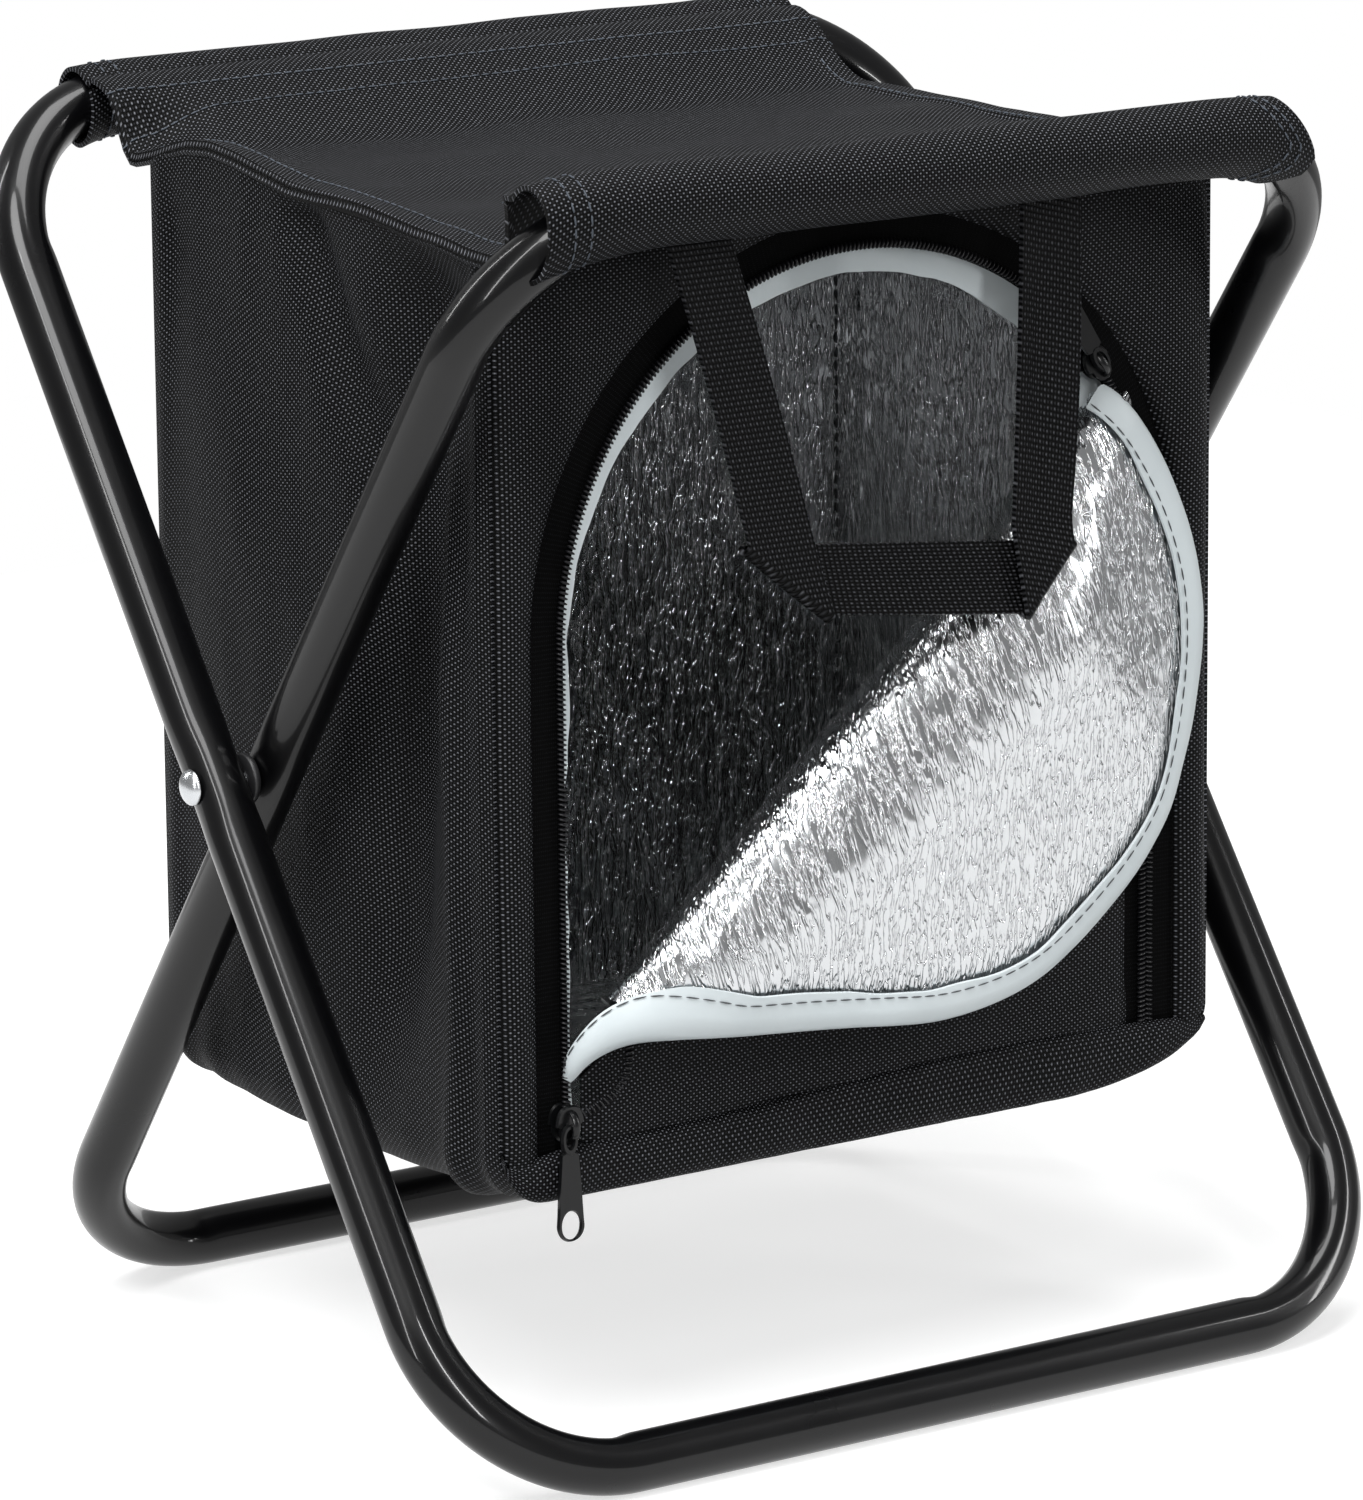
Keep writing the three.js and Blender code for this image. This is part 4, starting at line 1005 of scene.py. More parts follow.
@dataclass
class BagShell:
    """The bag's sides and bottom as one hung cloth, with the foil lining inside it."""

    finish: FinishShelf
    cloth: float = 1.4
    lining: float = 3.2
    lining_gap: float = 0.6
    belly: float = 5.2
    valley: float = 12.0
    front_fold: float = 4.2
    drag: float = 6.0
    pinch: float = 2.4
    welt: float = 1.9
    depth_rows: int = 72
    side_rows: int = 84
    corner_rows: int = 14
    floor_rows: int = 70

    def outline(self, y: Array, inset: float, top_drop: float) -> Array:
        """The U of the bag's section at each depth.

        Args:
            y: Depths.
            inset: How far inside the cloth's outer face the line runs.
            top_drop: How far below the bag's top the sides end.

        Returns:
            Points, depths by places round the U by 3.
        """
        half = SIZES.bag_half_width - inset
        low = SIZES.bottom_height(y) + inset
        top = np.minimum(SIZES.seat_height(y) - 2.1, SIZES.bag_top + 4) - top_drop
        left_top = np.interp(y, *np.array(LEFT_HEM).T) - 1.6 - top_drop
        left, right = (lower_corner(side, inset, self.corner_rows) for side in (-1, 1))
        floor_x = np.linspace(-half + left[-1, 0], half - right[-1, 0], self.floor_rows)[1:-1]
        rows = []
        for depth, z_low, z_top, z_left in zip(y, low, top, left_top):
            left_z = np.linspace(z_left, z_low + left[0, 1], self.side_rows)[:-1]
            right_z = np.linspace(z_low + right[0, 1], z_top, self.side_rows)[1:]
            line = np.concatenate([
                np.stack([np.full_like(left_z, -half), left_z], 1),
                np.stack([-half + left[:, 0], z_low + left[:, 1]], 1),
                np.stack([floor_x, np.full_like(floor_x, z_low)], 1),
                np.stack([half - right[::-1, 0], z_low + right[::-1, 1]], 1),
                np.stack([np.full_like(right_z, half), right_z], 1)])
            rows.append(np.stack([line[:, 0], np.full(len(line), depth), line[:, 1]], 1))
        return np.array(rows)

    def slack(self, points: Array) -> Array:
        """How far hung cloth stands out of its flat place, in millimetres.

        Args:
            points: Points of the shell.

        Returns:
            Outward displacement of each point.
        """
        x, y, z = points[..., 0], points[..., 1], points[..., 2]
        side = smoothstep(SIZES.bag_half_width - 18, SIZES.bag_half_width, np.abs(x))
        held = smoothstep(333, 308, z)
        # The side bellies out below its rear top corner and a long valley falls behind the front fold
        belly = self.belly * ridge(y, 40, 34) * ridge(z, 232, 78)
        valley = self.valley * ridge(y + 0.12 * (z - 180), -34, 18) * smoothstep(74, 140, z) * held
        fold = self.front_fold * ridge(y - 2.2 * np.sin(z / 33), -65, 6.5) * smoothstep(312, 262, z)
        # A drag line slants down from the seat's seam, and the cloth is drawn in beside the rear seam
        drag = self.drag * ridge(y - 0.5 * (z - 300), -6, 10) * smoothstep(236, 285, z) * smoothstep(333, 322, z)
        pinch = self.pinch * ridge(y, 74, 9) * smoothstep(230, 320, z) * held
        ripple = 0.9 * lattice_noise(y / 22 + 0.02 * z, z / 75, 18) + 0.35 * lattice_noise(y / 9, z / 40, 31)
        edge = smoothstep(SIZES.bag_half_depth - 1, SIZES.bag_half_depth - 12, np.abs(y))
        welt = self.welt * (ridge(y, -79, 4.0) + 0.7 * ridge(y, 79, 4.0))
        bottom = (1 - side) * 0.8 * lattice_noise(x / 40, y / 30, 17)
        return side * (edge * (belly - valley + fold - drag - pinch + ripple) + welt) + bottom * edge

    def shell(self, name: str, inset: float, thickness: float, top_drop: float, depth: float,
              material: Material, folded: bool) -> Piece:
        """One skin of the bag.

        Args:
            name: Object name.
            inset: How far inside the cloth's outer face the skin's outer face lies.
            thickness: Thickness of the skin.
            top_drop: How far below the bag's top it ends.
            depth: Half its depth, front to back.
            material: Finish.
            folded: Whether it shows the outer cloth's folds.

        Returns:
            The skin as an object.
        """
        y = np.linspace(-depth, depth, self.depth_rows)
        points = self.outline(y, inset, top_drop)
        # The fifth place round the U is near the top of its left side
        if looks_away(points, Look.LEFT, (self.depth_rows // 2, 4)):
            points = points[::-1]
        off = self.slack(points)
        off = off if folded else np.minimum(off, 0.0)
        points = points + grid_normals(points) * off[..., None]
        uvs = np.stack([points[..., 1], arc_lengths(points, 1)], -1)
        return thick_sheet(name, points, uvs, thickness, material)

    def build(self) -> None:
        """Make the cloth, its lining and the lining under the seat, and set them on the bag's body."""
        depth = SIZES.bag_half_depth - 0.6
        cloth = self.shell("bag_shell", 0.0, self.cloth, 0.0, depth, self.finish.oxford, True)
        dress(cloth, "oxford", "left_gusset", "right_gusset", "bottom_panel")
        inner_depth = SIZES.bag_half_depth - 4
        foil = self.shell("bag_lining", self.cloth + self.lining_gap, self.lining, 2.0, inner_depth,
                          self.finish.foil, False)
        dress(foil, "foil", "left_liner", "right_liner", "bottom_liner")
        roof = self.roof(inner_depth)
        dress(roof, "foil", "seat_liner")
        for piece in (cloth, foil, roof):
            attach(piece, "bag")
            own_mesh(piece)

    def roof(self, depth: float) -> Piece:
        """The foil lining under the seat.

        Args:
            depth: Half its depth, front to back.

        Returns:
            The lining as an object.
        """
        half = SIZES.bag_half_width - 7
        x, y = np.meshgrid(np.linspace(-half, half, 60), np.linspace(-depth, depth, 48), indexing="ij")
        z = SIZES.seat_height(y) + hem_offset(x, y) - 3.0 + 0.3 * lattice_noise(x / 20, y / 20, 23)
        points, uvs = np.stack([x, y, z], -1), np.stack([x, y], -1)
        return thick_sheet("seat_lining", points, uvs, self.lining, self.finish.foil, Look.UP)


def arch_line(radius: float, bottom: float, step: float = 2.0) -> Array:
    """An arch seen from the front, from its left foot over the top to its right foot.

    Args:
        radius: Half width of the arch.
        bottom: Height of its feet.
        step: Distance between points.

    Returns:
        Points (x, z).
    """
    rise = np.arange(bottom, SIZES.zip_centre_z, step)
    angle = np.linspace(np.pi, 0, max(8, int(np.pi * radius / step)))
    left = np.stack([np.full_like(rise, -radius), rise], 1)
    top = np.stack([radius * np.cos(angle), SIZES.zip_centre_z + radius * np.sin(angle)], 1)
    return np.concatenate([left, top, left[::-1] * [-1, 1]])


def on_wall(place: Array, y: float) -> Array:
    """Put a line or grid drawn from the front at a depth."""
    return np.stack([place[..., 0], np.full(place.shape[:-1], y), place[..., 1]], -1)


def lower_corner(side: int, inset: float, steps: int) -> Array:
    """One lower corner of the bag's section, from its side down to its floor.

    Args:
        side: -1 for the left corner, 1 for the right one.
        inset: How far inside the outline.
        steps: Number of points.

    Returns:
        Points as distance in from the side and height above the floor.
    """
    wide = SIZES.bag_corner if side < 0 else SIZES.far_corner_width
    tall = SIZES.bag_corner if side < 0 else SIZES.far_corner_height
    wide, tall = wide - inset, tall - inset
    turn = np.linspace(0, np.pi / 2, steps)
    return np.stack([wide * (1 - np.cos(turn)), tall * (1 - np.sin(turn))], 1)


def wall_radius(angle: Array, centre_z: float, inset: float = 0.0) -> Array:
    """Distance from a middle point to the wall's rounded outline in each direction.

    Args:
        angle: Directions seen from the front.
        centre_z: Height of the middle point.
        inset: How far inside the outline.

    Returns:
        Distances.
    """
    half, top, low = SIZES.bag_half_width - inset, SIZES.bag_top - inset, SIZES.bag_bottom + inset
    turn = np.linspace(0, np.pi / 2, 12)
    corner = SIZES.wall_corner * np.stack([1 - np.cos(turn), 1 - np.sin(turn)], 1)
    left, right = lower_corner(-1, inset, 16), lower_corner(1, inset, 24)
    outline = np.concatenate([
        np.stack([-half + left[:, 0], low + left[:, 1]], 1),
        np.stack([half - right[::-1, 0], low + right[::-1, 1]], 1),
        np.stack([half - corner[:, 0], top - corner[:, 1]], 1),
        np.stack([-half + corner[::-1, 0], top - corner[::-1, 1]], 1)])
    dense = np.concatenate([a + (b - a) * np.linspace(0, 1, 40, endpoint=False)[:, None]
                            for a, b in zip(outline, np.roll(outline, -1, 0))])
    rel = dense - [0, centre_z]
    place = np.arctan2(rel[:, 1], rel[:, 0])
    order = np.argsort(place)
    return np.interp(angle, place[order], np.hypot(rel[:, 0], rel[:, 1])[order], period=2 * np.pi)


def arch_radius(angle: Array, centre_z: float, radius: float, bottom: float) -> Array:
    """Distance from a middle point to an arch's outline in each direction.

    Args:
        angle: Directions seen from the front.
        centre_z: Height of the middle point.
        radius: Half width of the arch.
        bottom: Height of its feet.

    Returns:
        Distances.
    """
    lift = SIZES.zip_centre_z - centre_z
    c, s = np.cos(angle), np.sin(angle)
    tall = lift * s + np.sqrt(radius ** 2 - (lift * c) ** 2)
    side = radius / np.maximum(np.abs(c), 1e-9)
    low = (centre_z - bottom) / np.maximum(-s, 1e-9)
    return np.where(tall * s >= lift, tall, np.where(s < 0, np.minimum(side, low), side))


@dataclass
class EndWalls:
    """The front wall with its arched mouth, and the rear wall, with linings and welts."""

    finish: FinishShelf
    beads: BeadRun
    cloth: float = 1.4
    lining: float = 3.2
    panel_cut: float = 106.2
    lining_cut: float = 100.6
    lining_back: float = 1.9
    lining_inset: float = 7.0
    tape_inner: float = 96.0
    tape: float = 0.9
    coil_radius: float = 97.3
    strip_steps: int = 6
    closed_below: float = 268.0
    band_top: float = 82.0
    centre_z: float = 200.0
    binding_outer: float = 104.0
    foot_z: float = 81.0
    band_bulge: float = 3.4
    band_seam: tuple[Pair, ...] = (
        (-118, 82), (-100, 84.6), (-55, 85.6), (-22, 87), (11, 89), (57, 90), (100, 88.5), (118, 87))
    binding_widths: tuple[Pair, ...] = (
        (-90, 88), (0, 88), (45, 88.5), (90, 89.5), (135, 88.3), (160, 90.3), (180, 92.1), (270, 92.3))

    def directions(self, radius: float, bottom: float) -> Array:
        """Directions round the mouth, with one at each lower corner of it and of the wall.

        Args:
            radius: Half width of the mouth.
            bottom: Height of its lower edge.

        Returns:
            Angles in rising order.
        """
        corner = math.atan2(bottom - self.centre_z, radius)
        wall_corner = math.atan2(SIZES.bag_bottom - self.centre_z, SIZES.bag_half_width)
        extra = [corner, math.pi - corner, wall_corner, math.pi - wall_corner]
        angle = np.concatenate([np.linspace(-math.pi, math.pi, 400, endpoint=False),
                                [math.remainder(a, 2 * math.pi) for a in extra]])
        return np.unique(np.round(angle, 6))

    def ring(self, inner: Array, outer: Array, angle: Array, steps: int) -> tuple[Array, Array]:
        """Points of a plate between two outlines round the middle.

        Args:
            inner: Distances to the inner outline.
            outer: Distances to the outer outline.
            angle: Directions.
            steps: Number of rows between the outlines.

        Returns:
            Places (x, z) as directions by rows by 2, and the share of each row from inner to outer.
        """
        share = np.linspace(0, 1, steps)
        r = inner[:, None] + (outer - inner)[:, None] * share
        x = r * np.cos(angle)[:, None]
        z = self.centre_z + r * np.sin(angle)[:, None]
        return np.stack([x, z], -1), np.repeat(share[None, :], len(angle), 0)

    def front_cloth(self) -> Piece:
        """The front wall: full between its seam and the zip, and turned back at both edges.

        Returns:
            The wall as an object.
        """
        angle = self.directions(self.panel_cut, self.band_top)
        inner = arch_radius(angle, self.centre_z, self.panel_cut, self.band_top)
        outer = wall_radius(angle, self.centre_z)
        place, share = self.ring(inner, outer, angle, 18)
        margin = (outer - inner)[:, None] * np.ones_like(share)
        from_seam, from_zip = (1 - share) * margin, share * margin
        puff = np.clip(margin / 14, 0, 1.3)
        lift = 2.6 * puff * np.sin(np.pi * np.clip(share, 0, 1)) ** 0.7
        lift -= 2.4 * np.exp(-from_seam / 1.4) + 1.0 * np.exp(-from_zip / 1.6)
        lift += 0.6 * lattice_noise(place[..., 0] / 24, place[..., 1] / 38, 41) * np.sin(np.pi * share)
        points = np.stack([place[..., 0], SIZES.front_y - lift, under_seat(place, SIZES.front_y)], -1)
        return thick_sheet("front_wall_cloth", points, place, self.cloth, self.finish.oxford, Look.FRONT, True)

    def bottom_welt(self) -> Piece:
        """The rolled band along the front wall's lower edge, which runs out to a point at the right corner.

        Returns:
            The band as an object.
        """
        half, low = SIZES.bag_half_width, SIZES.bag_bottom
        x = np.concatenate([np.linspace(-half, -half + 12, 12), np.linspace(-half + 14, half - 1, 110)])
        near, far = lower_corner(-1, 0, 16), lower_corner(1, 0, 24)
        under = low - 1.2 + np.interp(x + half, near[:, 0], near[:, 1]) + np.interp(half - x, far[:, 0], far[:, 1])
        over = np.maximum(np.interp(x, *np.array(self.band_seam).T), under + 1.0)
        angle = full_turn(24)
        rise = (over - under)[:, None] / 2 * (1 + np.cos(angle))
        tall = np.clip((over - under) / 14, 0.15, 1)
        bulge = self.band_bulge * tall * (1 + 0.15 * lattice_noise(x / 17, np.zeros_like(x), 5))
        out = np.where(np.sin(angle) > 0, bulge[:, None], 1.2) * np.sin(angle)
        y = SIZES.front_y - 0.4 - out + 0.25 * lattice_noise(x[:, None] / 5, angle * 1.5, 6)
        rings = np.stack([np.repeat(x[:, None], len(angle), 1), y, under[:, None] + rise], -1)
        uvs = np.stack([rings[..., 0], np.repeat(angle[None, :] * 5.2, len(x), 0)], -1)
        return swept_tube("front_bottom_welt", rings, self.finish.oxford, uvs)

    def plate(self, name: str, face_y: float, look: Look, inset: float, thickness: float, bulge: float,
              material: Material, seed: int) -> Piece:
        """A full wall or lining without a mouth.

        Args:
            name: Object name.
            face_y: Depth of its outer face.
            look: Which way its outer face looks.
            inset: How far inside the bag's outline it ends.
            thickness: Thickness.
            bulge: How far its middle stands out.
            material: Finish.
            seed: Picks its pattern of unevenness.

        Returns:
            The wall as an object.
        """
        angle = np.linspace(-math.pi, math.pi, 320, endpoint=False)
        outer = wall_radius(angle, self.centre_z, inset)
        place, share = self.ring(outer * 0.004, outer, angle, 60)
        from_seam = (1 - share) * outer[:, None]
        lift = bulge * (1 - share ** 4) + 0.9 * lattice_noise(place[..., 0] / 38, place[..., 1] / 50, seed)
        lift *= smoothstep(0, 10, from_seam)
        # Cloth that bulges also has a welt along its seam
        lift += (1.6 * ridge(from_seam, 6, 4) - 2.0 * np.exp(-from_seam / 1.5)) * (bulge > 0)
        points = np.stack([place[..., 0], face_y + look.value[1] * lift, under_seat(place, face_y)], -1)
        return thick_sheet(name, points, place, thickness, material, look, True)

    def front_lining(self) -> Piece:
        """Foil on the inside of the front wall, round the mouth.

        Returns:
            The lining as an object.
        """
        bottom = self.band_top + 4
        angle = self.directions(self.lining_cut, bottom)
        inner = arch_radius(angle, self.centre_z, self.lining_cut, bottom)
        outer = wall_radius(angle, self.centre_z, self.lining_inset)
        place, _ = self.ring(inner, np.maximum(outer, inner + 3), angle, 8)
        points = on_wall(place, SIZES.front_y + self.lining_back)
        return thick_sheet("front_lining", points, place, self.lining, self.finish.foil, Look.FRONT, True)

    def strip(self, name: str, outer: float, inner: Optional[float], y: float, thickness: float,
              material: Material, wobble: float = 0.0) -> Piece:
        """A flat strip that follows the arch between two radii.

        Args:
            name: Object name.
            outer: Outer radius.
            inner: Inner radius, or None for the binding's own uneven edge.
            y: Depth of the front face.
            thickness: Thickness.
            material: Finish.
            wobble: Unevenness of the inner edge.

        Returns:
            The strip as an object.
        """
        base = arch_line(SIZES.zip_radius, self.foot_z)
        run = arc_lengths(base, 0)
        centre = np.stack([np.zeros(len(base)), np.minimum(base[:, 1], SIZES.zip_centre_z)], 1)
        out = (base - centre) / SIZES.zip_radius
        share = np.linspace(0, 1, self.strip_steps)
        turn = np.degrees(np.arctan2(base[:, 1] - SIZES.zip_centre_z, base[:, 0]))
        turn = np.where(turn < -90, turn + 360, turn)
        binding_edge = np.interp(turn, *np.array(self.binding_widths).T)
        inner_edge = binding_edge if inner is None else np.full(len(base), inner)
        radius = outer + (inner_edge - outer)[:, None] * share
        run = run[:, None] + 0 * share
        uneven = wobble * (lattice_noise(run / 31, 0 * run, 13) + 0.5 * lattice_noise(run / 7, 0 * run, 15))
        radius = radius + uneven * share ** 2
        place = centre[:, None, :] + out[:, None, :] * radius[..., None]
        ripple = wobble * 0.5 * lattice_noise(run / 17, share * 2, 29)
        points = np.stack([place[..., 0], y + ripple, place[..., 1]], -1)
        uvs = np.stack([run, radius], -1)
        return thick_sheet(name, points, uvs, thickness, material, Look.FRONT)

    def build(self) -> None:
        """Make both walls and the wall's half of the zip and set them on their bodies."""
        front = dress(self.front_cloth(), "oxford", "front_panel")
        welt = dress(self.bottom_welt(), "oxford")
        lining = dress(self.front_lining(), "foil", "front_liner")
        binding = self.strip("mouth_binding", self.binding_outer, None, SIZES.front_y + 5.4, 1.0,
                             self.finish.vinyl, 0.9)
        dress(binding, "vinyl", "opening_binding")
        tape = self.strip("wall_zip_tape", self.panel_cut + 2.0, self.tape_inner, SIZES.front_y + self.tape,
                          self.tape, self.finish.zip_tape)
        dress(tape, "zip_tape", "zip_tape")
        arch = arch_line(self.coil_radius, self.foot_z, 1.5)
        closed = (arch[:, 0] > 0) & (arch[:, 1] < self.closed_below)
        lines = [on_wall(arch[part], SIZES.front_y - 0.1) for part in (~closed, closed)]
        teeth = dress(self.beads.lay("wall_zip_coil", lines, COIL_TURN, self.finish.coil, 12), "zip_tape")
        rear = self.plate("rear_wall_cloth", SIZES.bag_half_depth, Look.REAR, 0.0, self.cloth, 1.6,
                          self.finish.oxford, 51)
        dress(rear, "oxford", "rear_panel")
        back = self.plate("rear_lining", SIZES.bag_half_depth - 5.4, Look.FRONT, 4.4, self.lining, 0.0,
                          self.finish.foil, 57)
        dress(back, "foil", "rear_liner")
        for piece in (front, welt, lining, binding, tape, teeth):
            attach(piece, "front_wall")
        seam_x, seam_y = 9.0 - SIZES.bag_half_width, SIZES.bag_half_depth - 5.7
        seam = [np.array([[side * seam_x, seam_y, z] for z in np.arange(84.0, 322.0, 2.0)]) for side in (1, -1)]
        sewn = self.beads.lay("rear_lining_stitches", seam, LINING_STITCH, self.finish.dark_thread)
        dress(sewn, "foil")
        for piece in (rear, back, sewn):
            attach(piece, "rear_wall")


@dataclass
class RolledFlap:
    """The arched flap: its lower part still zipped, the rest rolled down over a diagonal crease."""

    finish: FinishShelf
    beads: BeadRun
    edge: float = 93.0
    crease_deg: float = 40.0
    crease_x: float = -97.0
    crease_z: float = 123.0
    roll_offset: float = 19.2
    roll_radius: float = 11.0
    roll_length: float = 41.0
    roll_taller: float = 4.0
    roll_longer: float = 11.0
    tail_length: float = 36.0
    cloth: float = 1.2
    foam: float = 3.0
    tape: float = 0.9
    zipped_half: float = 91.5
    zipped_foil_half: float = 86.0
    closed_below: float = 258.0
    binding_width: float = 9.0
    edge_sink: float = 1.3
    tip: Pair = (-97.5, 95.0)
    tip_turn: float = 0.62
    tip_reach: float = 24.0
    cloth_parting: tuple[float, float, float, float] = (7.7, 0.055, 1.8, 15.6)
    foil_parting: tuple[float, float, float, float] = (12.7, 0.048, -6.8, 22.4)
    loose_teeth: tuple[Triple, ...] = (
        (-95, -87.4, 93.6), (-91, -88.6, 95), (-87, -88.8, 96.8), (-84, -88.8, 98.6), (-81.8, -88.8, 101),
        (-80.3, -88.8, 104), (-79.4, -88.6, 108), (-79, -88.2, 113))

    def __post_init__(self) -> None:
        """Work out the crease's directions."""
        a = math.radians(self.crease_deg)
        self.along = np.array([math.cos(a), math.sin(a)])
        self.up = np.array([-math.sin(a), math.cos(a)])
        self.axis = np.array([self.crease_x, self.crease_z]) - self.roll_offset * self.up
        self.foot = (-self.edge - self.axis[0]) / self.along[0]

    def from_flat(self, flat: Array) -> tuple[Array, Array]:
        """Place along the crease and height above the roll's axis of points of the flat flap."""
        rel = flat - self.axis
        return rel @ self.along, rel @ self.up

    def roll(self, t: Array) -> tuple[Array, Array, Array]:
        """The roll along the crease: where it starts, its length round and its radius.

        Args:
            t: Places along the crease.

        Returns:
            Start above the roll's axis, length of cloth in the roll, and radius.
        """
        side = np.maximum((self.axis[0] + self.along[0] * t + self.edge) / -self.up[0], 0.5)
        right = 0.3 + 0.7 * smoothstep(232, 160, t)
        path = self.roll_length * (1 - np.exp(-side / self.tail_length)) * right
        return self.roll_offset * (1 - right), path, self.roll_radius * path / self.roll_length

    def folded(self, flat: Array, layer: float) -> Array:
        """Where points of the flat flap lie once it is rolled down.

        Args:
            flat: Points (x, z) of the flat flap.
            layer: Distance of the wanted face from the cloth's inner face, towards the foil.

        Returns:
            Points in the stool's frame.
        """
        t, h = self.from_flat(flat)
        start, path, radius = self.roll(t)
        full = path / self.roll_length
        tilt = np.radians(7 + 8 * smoothstep(60, 170, t)) * full
        rise = h - start
        outer = radius + layer * (0.3 + 0.7 * smoothstep(2, 20, path))
        # The roll stands taller than it is deep, and it runs out slowly into the free part
        taller, longer = self.roll_taller * full, self.roll_longer * full
        back_turn = np.clip(2 * rise / path, 0, 1) - 1
        front_turn = np.clip((rise - path / 2) / (path / 2 + longer), 0, 1) * (1 + tilt * 2 / np.pi)
        turn = (back_turn + front_turn) * np.pi / 2
        spare = np.maximum(rise - path - longer, 0)
        drop = (outer + taller + np.where(turn > 0, longer, 0)) * (1 - np.cos(turn))
        up = start + np.minimum(rise, 0) + outer + taller - drop - spare * np.cos(tilt)
        out = radius + outer * np.sin(turn) - spare * np.sin(tilt)
        # The free part is not flat: it bellies out behind the roll and its edge waves
        loose = smoothstep(0, 60, spare)
        out = out + 2.2 * loose * np.sin(np.clip(spare / 95, 0, 1) * np.pi)
        out = out + 0.9 * loose * np.sin(t / 19.0 + 0.6) + 0.6 * loose * np.sin(t / 8.5 + spare / 30)
        place = self.axis + t[..., None] * self.along + up[..., None] * self.up
        # The narrow tip is drawn up towards the zip, so the flap turns on it
        rel = place - np.array(self.tip)
        swing = self.tip_turn * np.exp(-((rel ** 2).sum(-1)) / self.tip_reach ** 2)
        c, s = np.cos(swing), np.sin(swing)
        x = self.tip[0] + c * rel[..., 0] - s * rel[..., 1]
        z = self.tip[1] + s * rel[..., 0] + c * rel[..., 1]
        return np.stack([x, SIZES.front_y - out, z], -1)

    def flap_grid(self, edge: float, columns: int, rows: int, trim: float) -> Array:
        """A grid over the part of the flat flap above the roll's axis.

        Args:
            edge: Radius of the arch that bounds it.
            columns: Lines along the crease.
            rows: Lines up from the crease.
            trim: How much of the narrow left tip is left out.

        Returns:
            Points (x, z) of the flat flap.
        """
        centre_t, centre_h = self.from_flat(np.array([0.0, SIZES.zip_centre_z]))
        foot = (-edge - self.axis[0]) / self.along[0]
        last = centre_t + edge * 0.998
        t = foot + trim + (last - foot - trim) * np.linspace(0, 1, columns)
        reach = np.sqrt(np.maximum(edge ** 2 - (t - centre_t) ** 2, 0))
        low = np.where(t < centre_t, 0, np.maximum(0, centre_h - reach))
        high = centre_h + reach
        side = (self.axis[0] + self.along[0] * t + edge) / -self.up[0]
        side_z = self.axis[1] + self.along[1] * t + self.up[1] * side
        high = np.where((side_z < SIZES.zip_centre_z) | (t < centre_t - edge), side, high)
        share = np.linspace(0, 1, rows)
        h = low[:, None] + (high - low)[:, None] * share
        return self.axis + t[:, None, None] * self.along + h[..., None] * self.up

    def layer(self, name: str, edge: float, face: float, thickness: float, material: Material, crinkle: float,
              trim: float, columns: int = 190, rows: int = 120) -> Piece:
        """One layer of the rolled flap.

        Args:
            name: Object name.
            edge: Radius of its arched edge.
            face: Distance of its outer face from the cloth's inner face.
            thickness: Thickness.
            material: Finish.
            crinkle: Depth of the creases in its face.
            trim: How much of the narrow left tip is left out.
            columns: Fineness along the crease.
            rows: Fineness across it.

        Returns:
            The layer as an object.
        """
        flat = self.flap_grid(edge, columns, rows, trim)
        points = self.folded(flat, face)
        # The free part is looked at, next to its edge
        if looks_away(points, Look.FRONT, (columns // 2, -2)):
            flat, points = flat[::-1], points[::-1]
        t, h = self.from_flat(flat)
        rough = np.abs(lattice_noise(t / 3.1 + 0.5 * lattice_noise(t / 9, h / 9, 3), h / 6.5, 71))
        rough = 0.5 - rough + 0.5 * lattice_noise(t / 13, h / 13, 73)
        from_edge = edge - np.hypot(flat[..., 0], np.maximum(flat[..., 1] - SIZES.zip_centre_z, 0))
        sunk = self.edge_sink * (thickness / self.foam) * smoothstep(15, 5, from_edge)
        points = points + grid_normals(points) * (crinkle * rough - sunk)[..., None]
        uvs = np.stack([0.77 * t + 0.64 * h, 0.64 * t - 0.77 * h], -1)
        return thick_sheet(name, points, uvs, thickness, material)

    def edge_line(self, start_share: float) -> Array:
        """The flap's free edge on the flat flap, from its left foot over to its right end.

        Args:
            start_share: Share of the roll that is left out at both ends.

        Returns:
            Points (x, z).
        """
        line = arch_line(self.edge, 70.0)
        t, h = self.from_flat(line)
        start, path, _ = self.roll(t)
        return line[h > start + start_share * path * smoothstep(self.foot, self.foot + 65, t)]

    def inward(self, line: Array) -> Array:
        """Direction from the flat flap's edge to its inside."""
        out = line - np.stack([0 * line[:, 0], np.minimum(line[:, 1], SIZES.zip_centre_z)], 1)
        return -out / np.linalg.norm(out, axis=1, keepdims=True)

    @staticmethod
    def grown(run: Array) -> Array:
        """Share of the binding's width along its run: it is pinched narrow at the tip."""
        return 0.25 + 0.75 * smoothstep(0, 34, run)

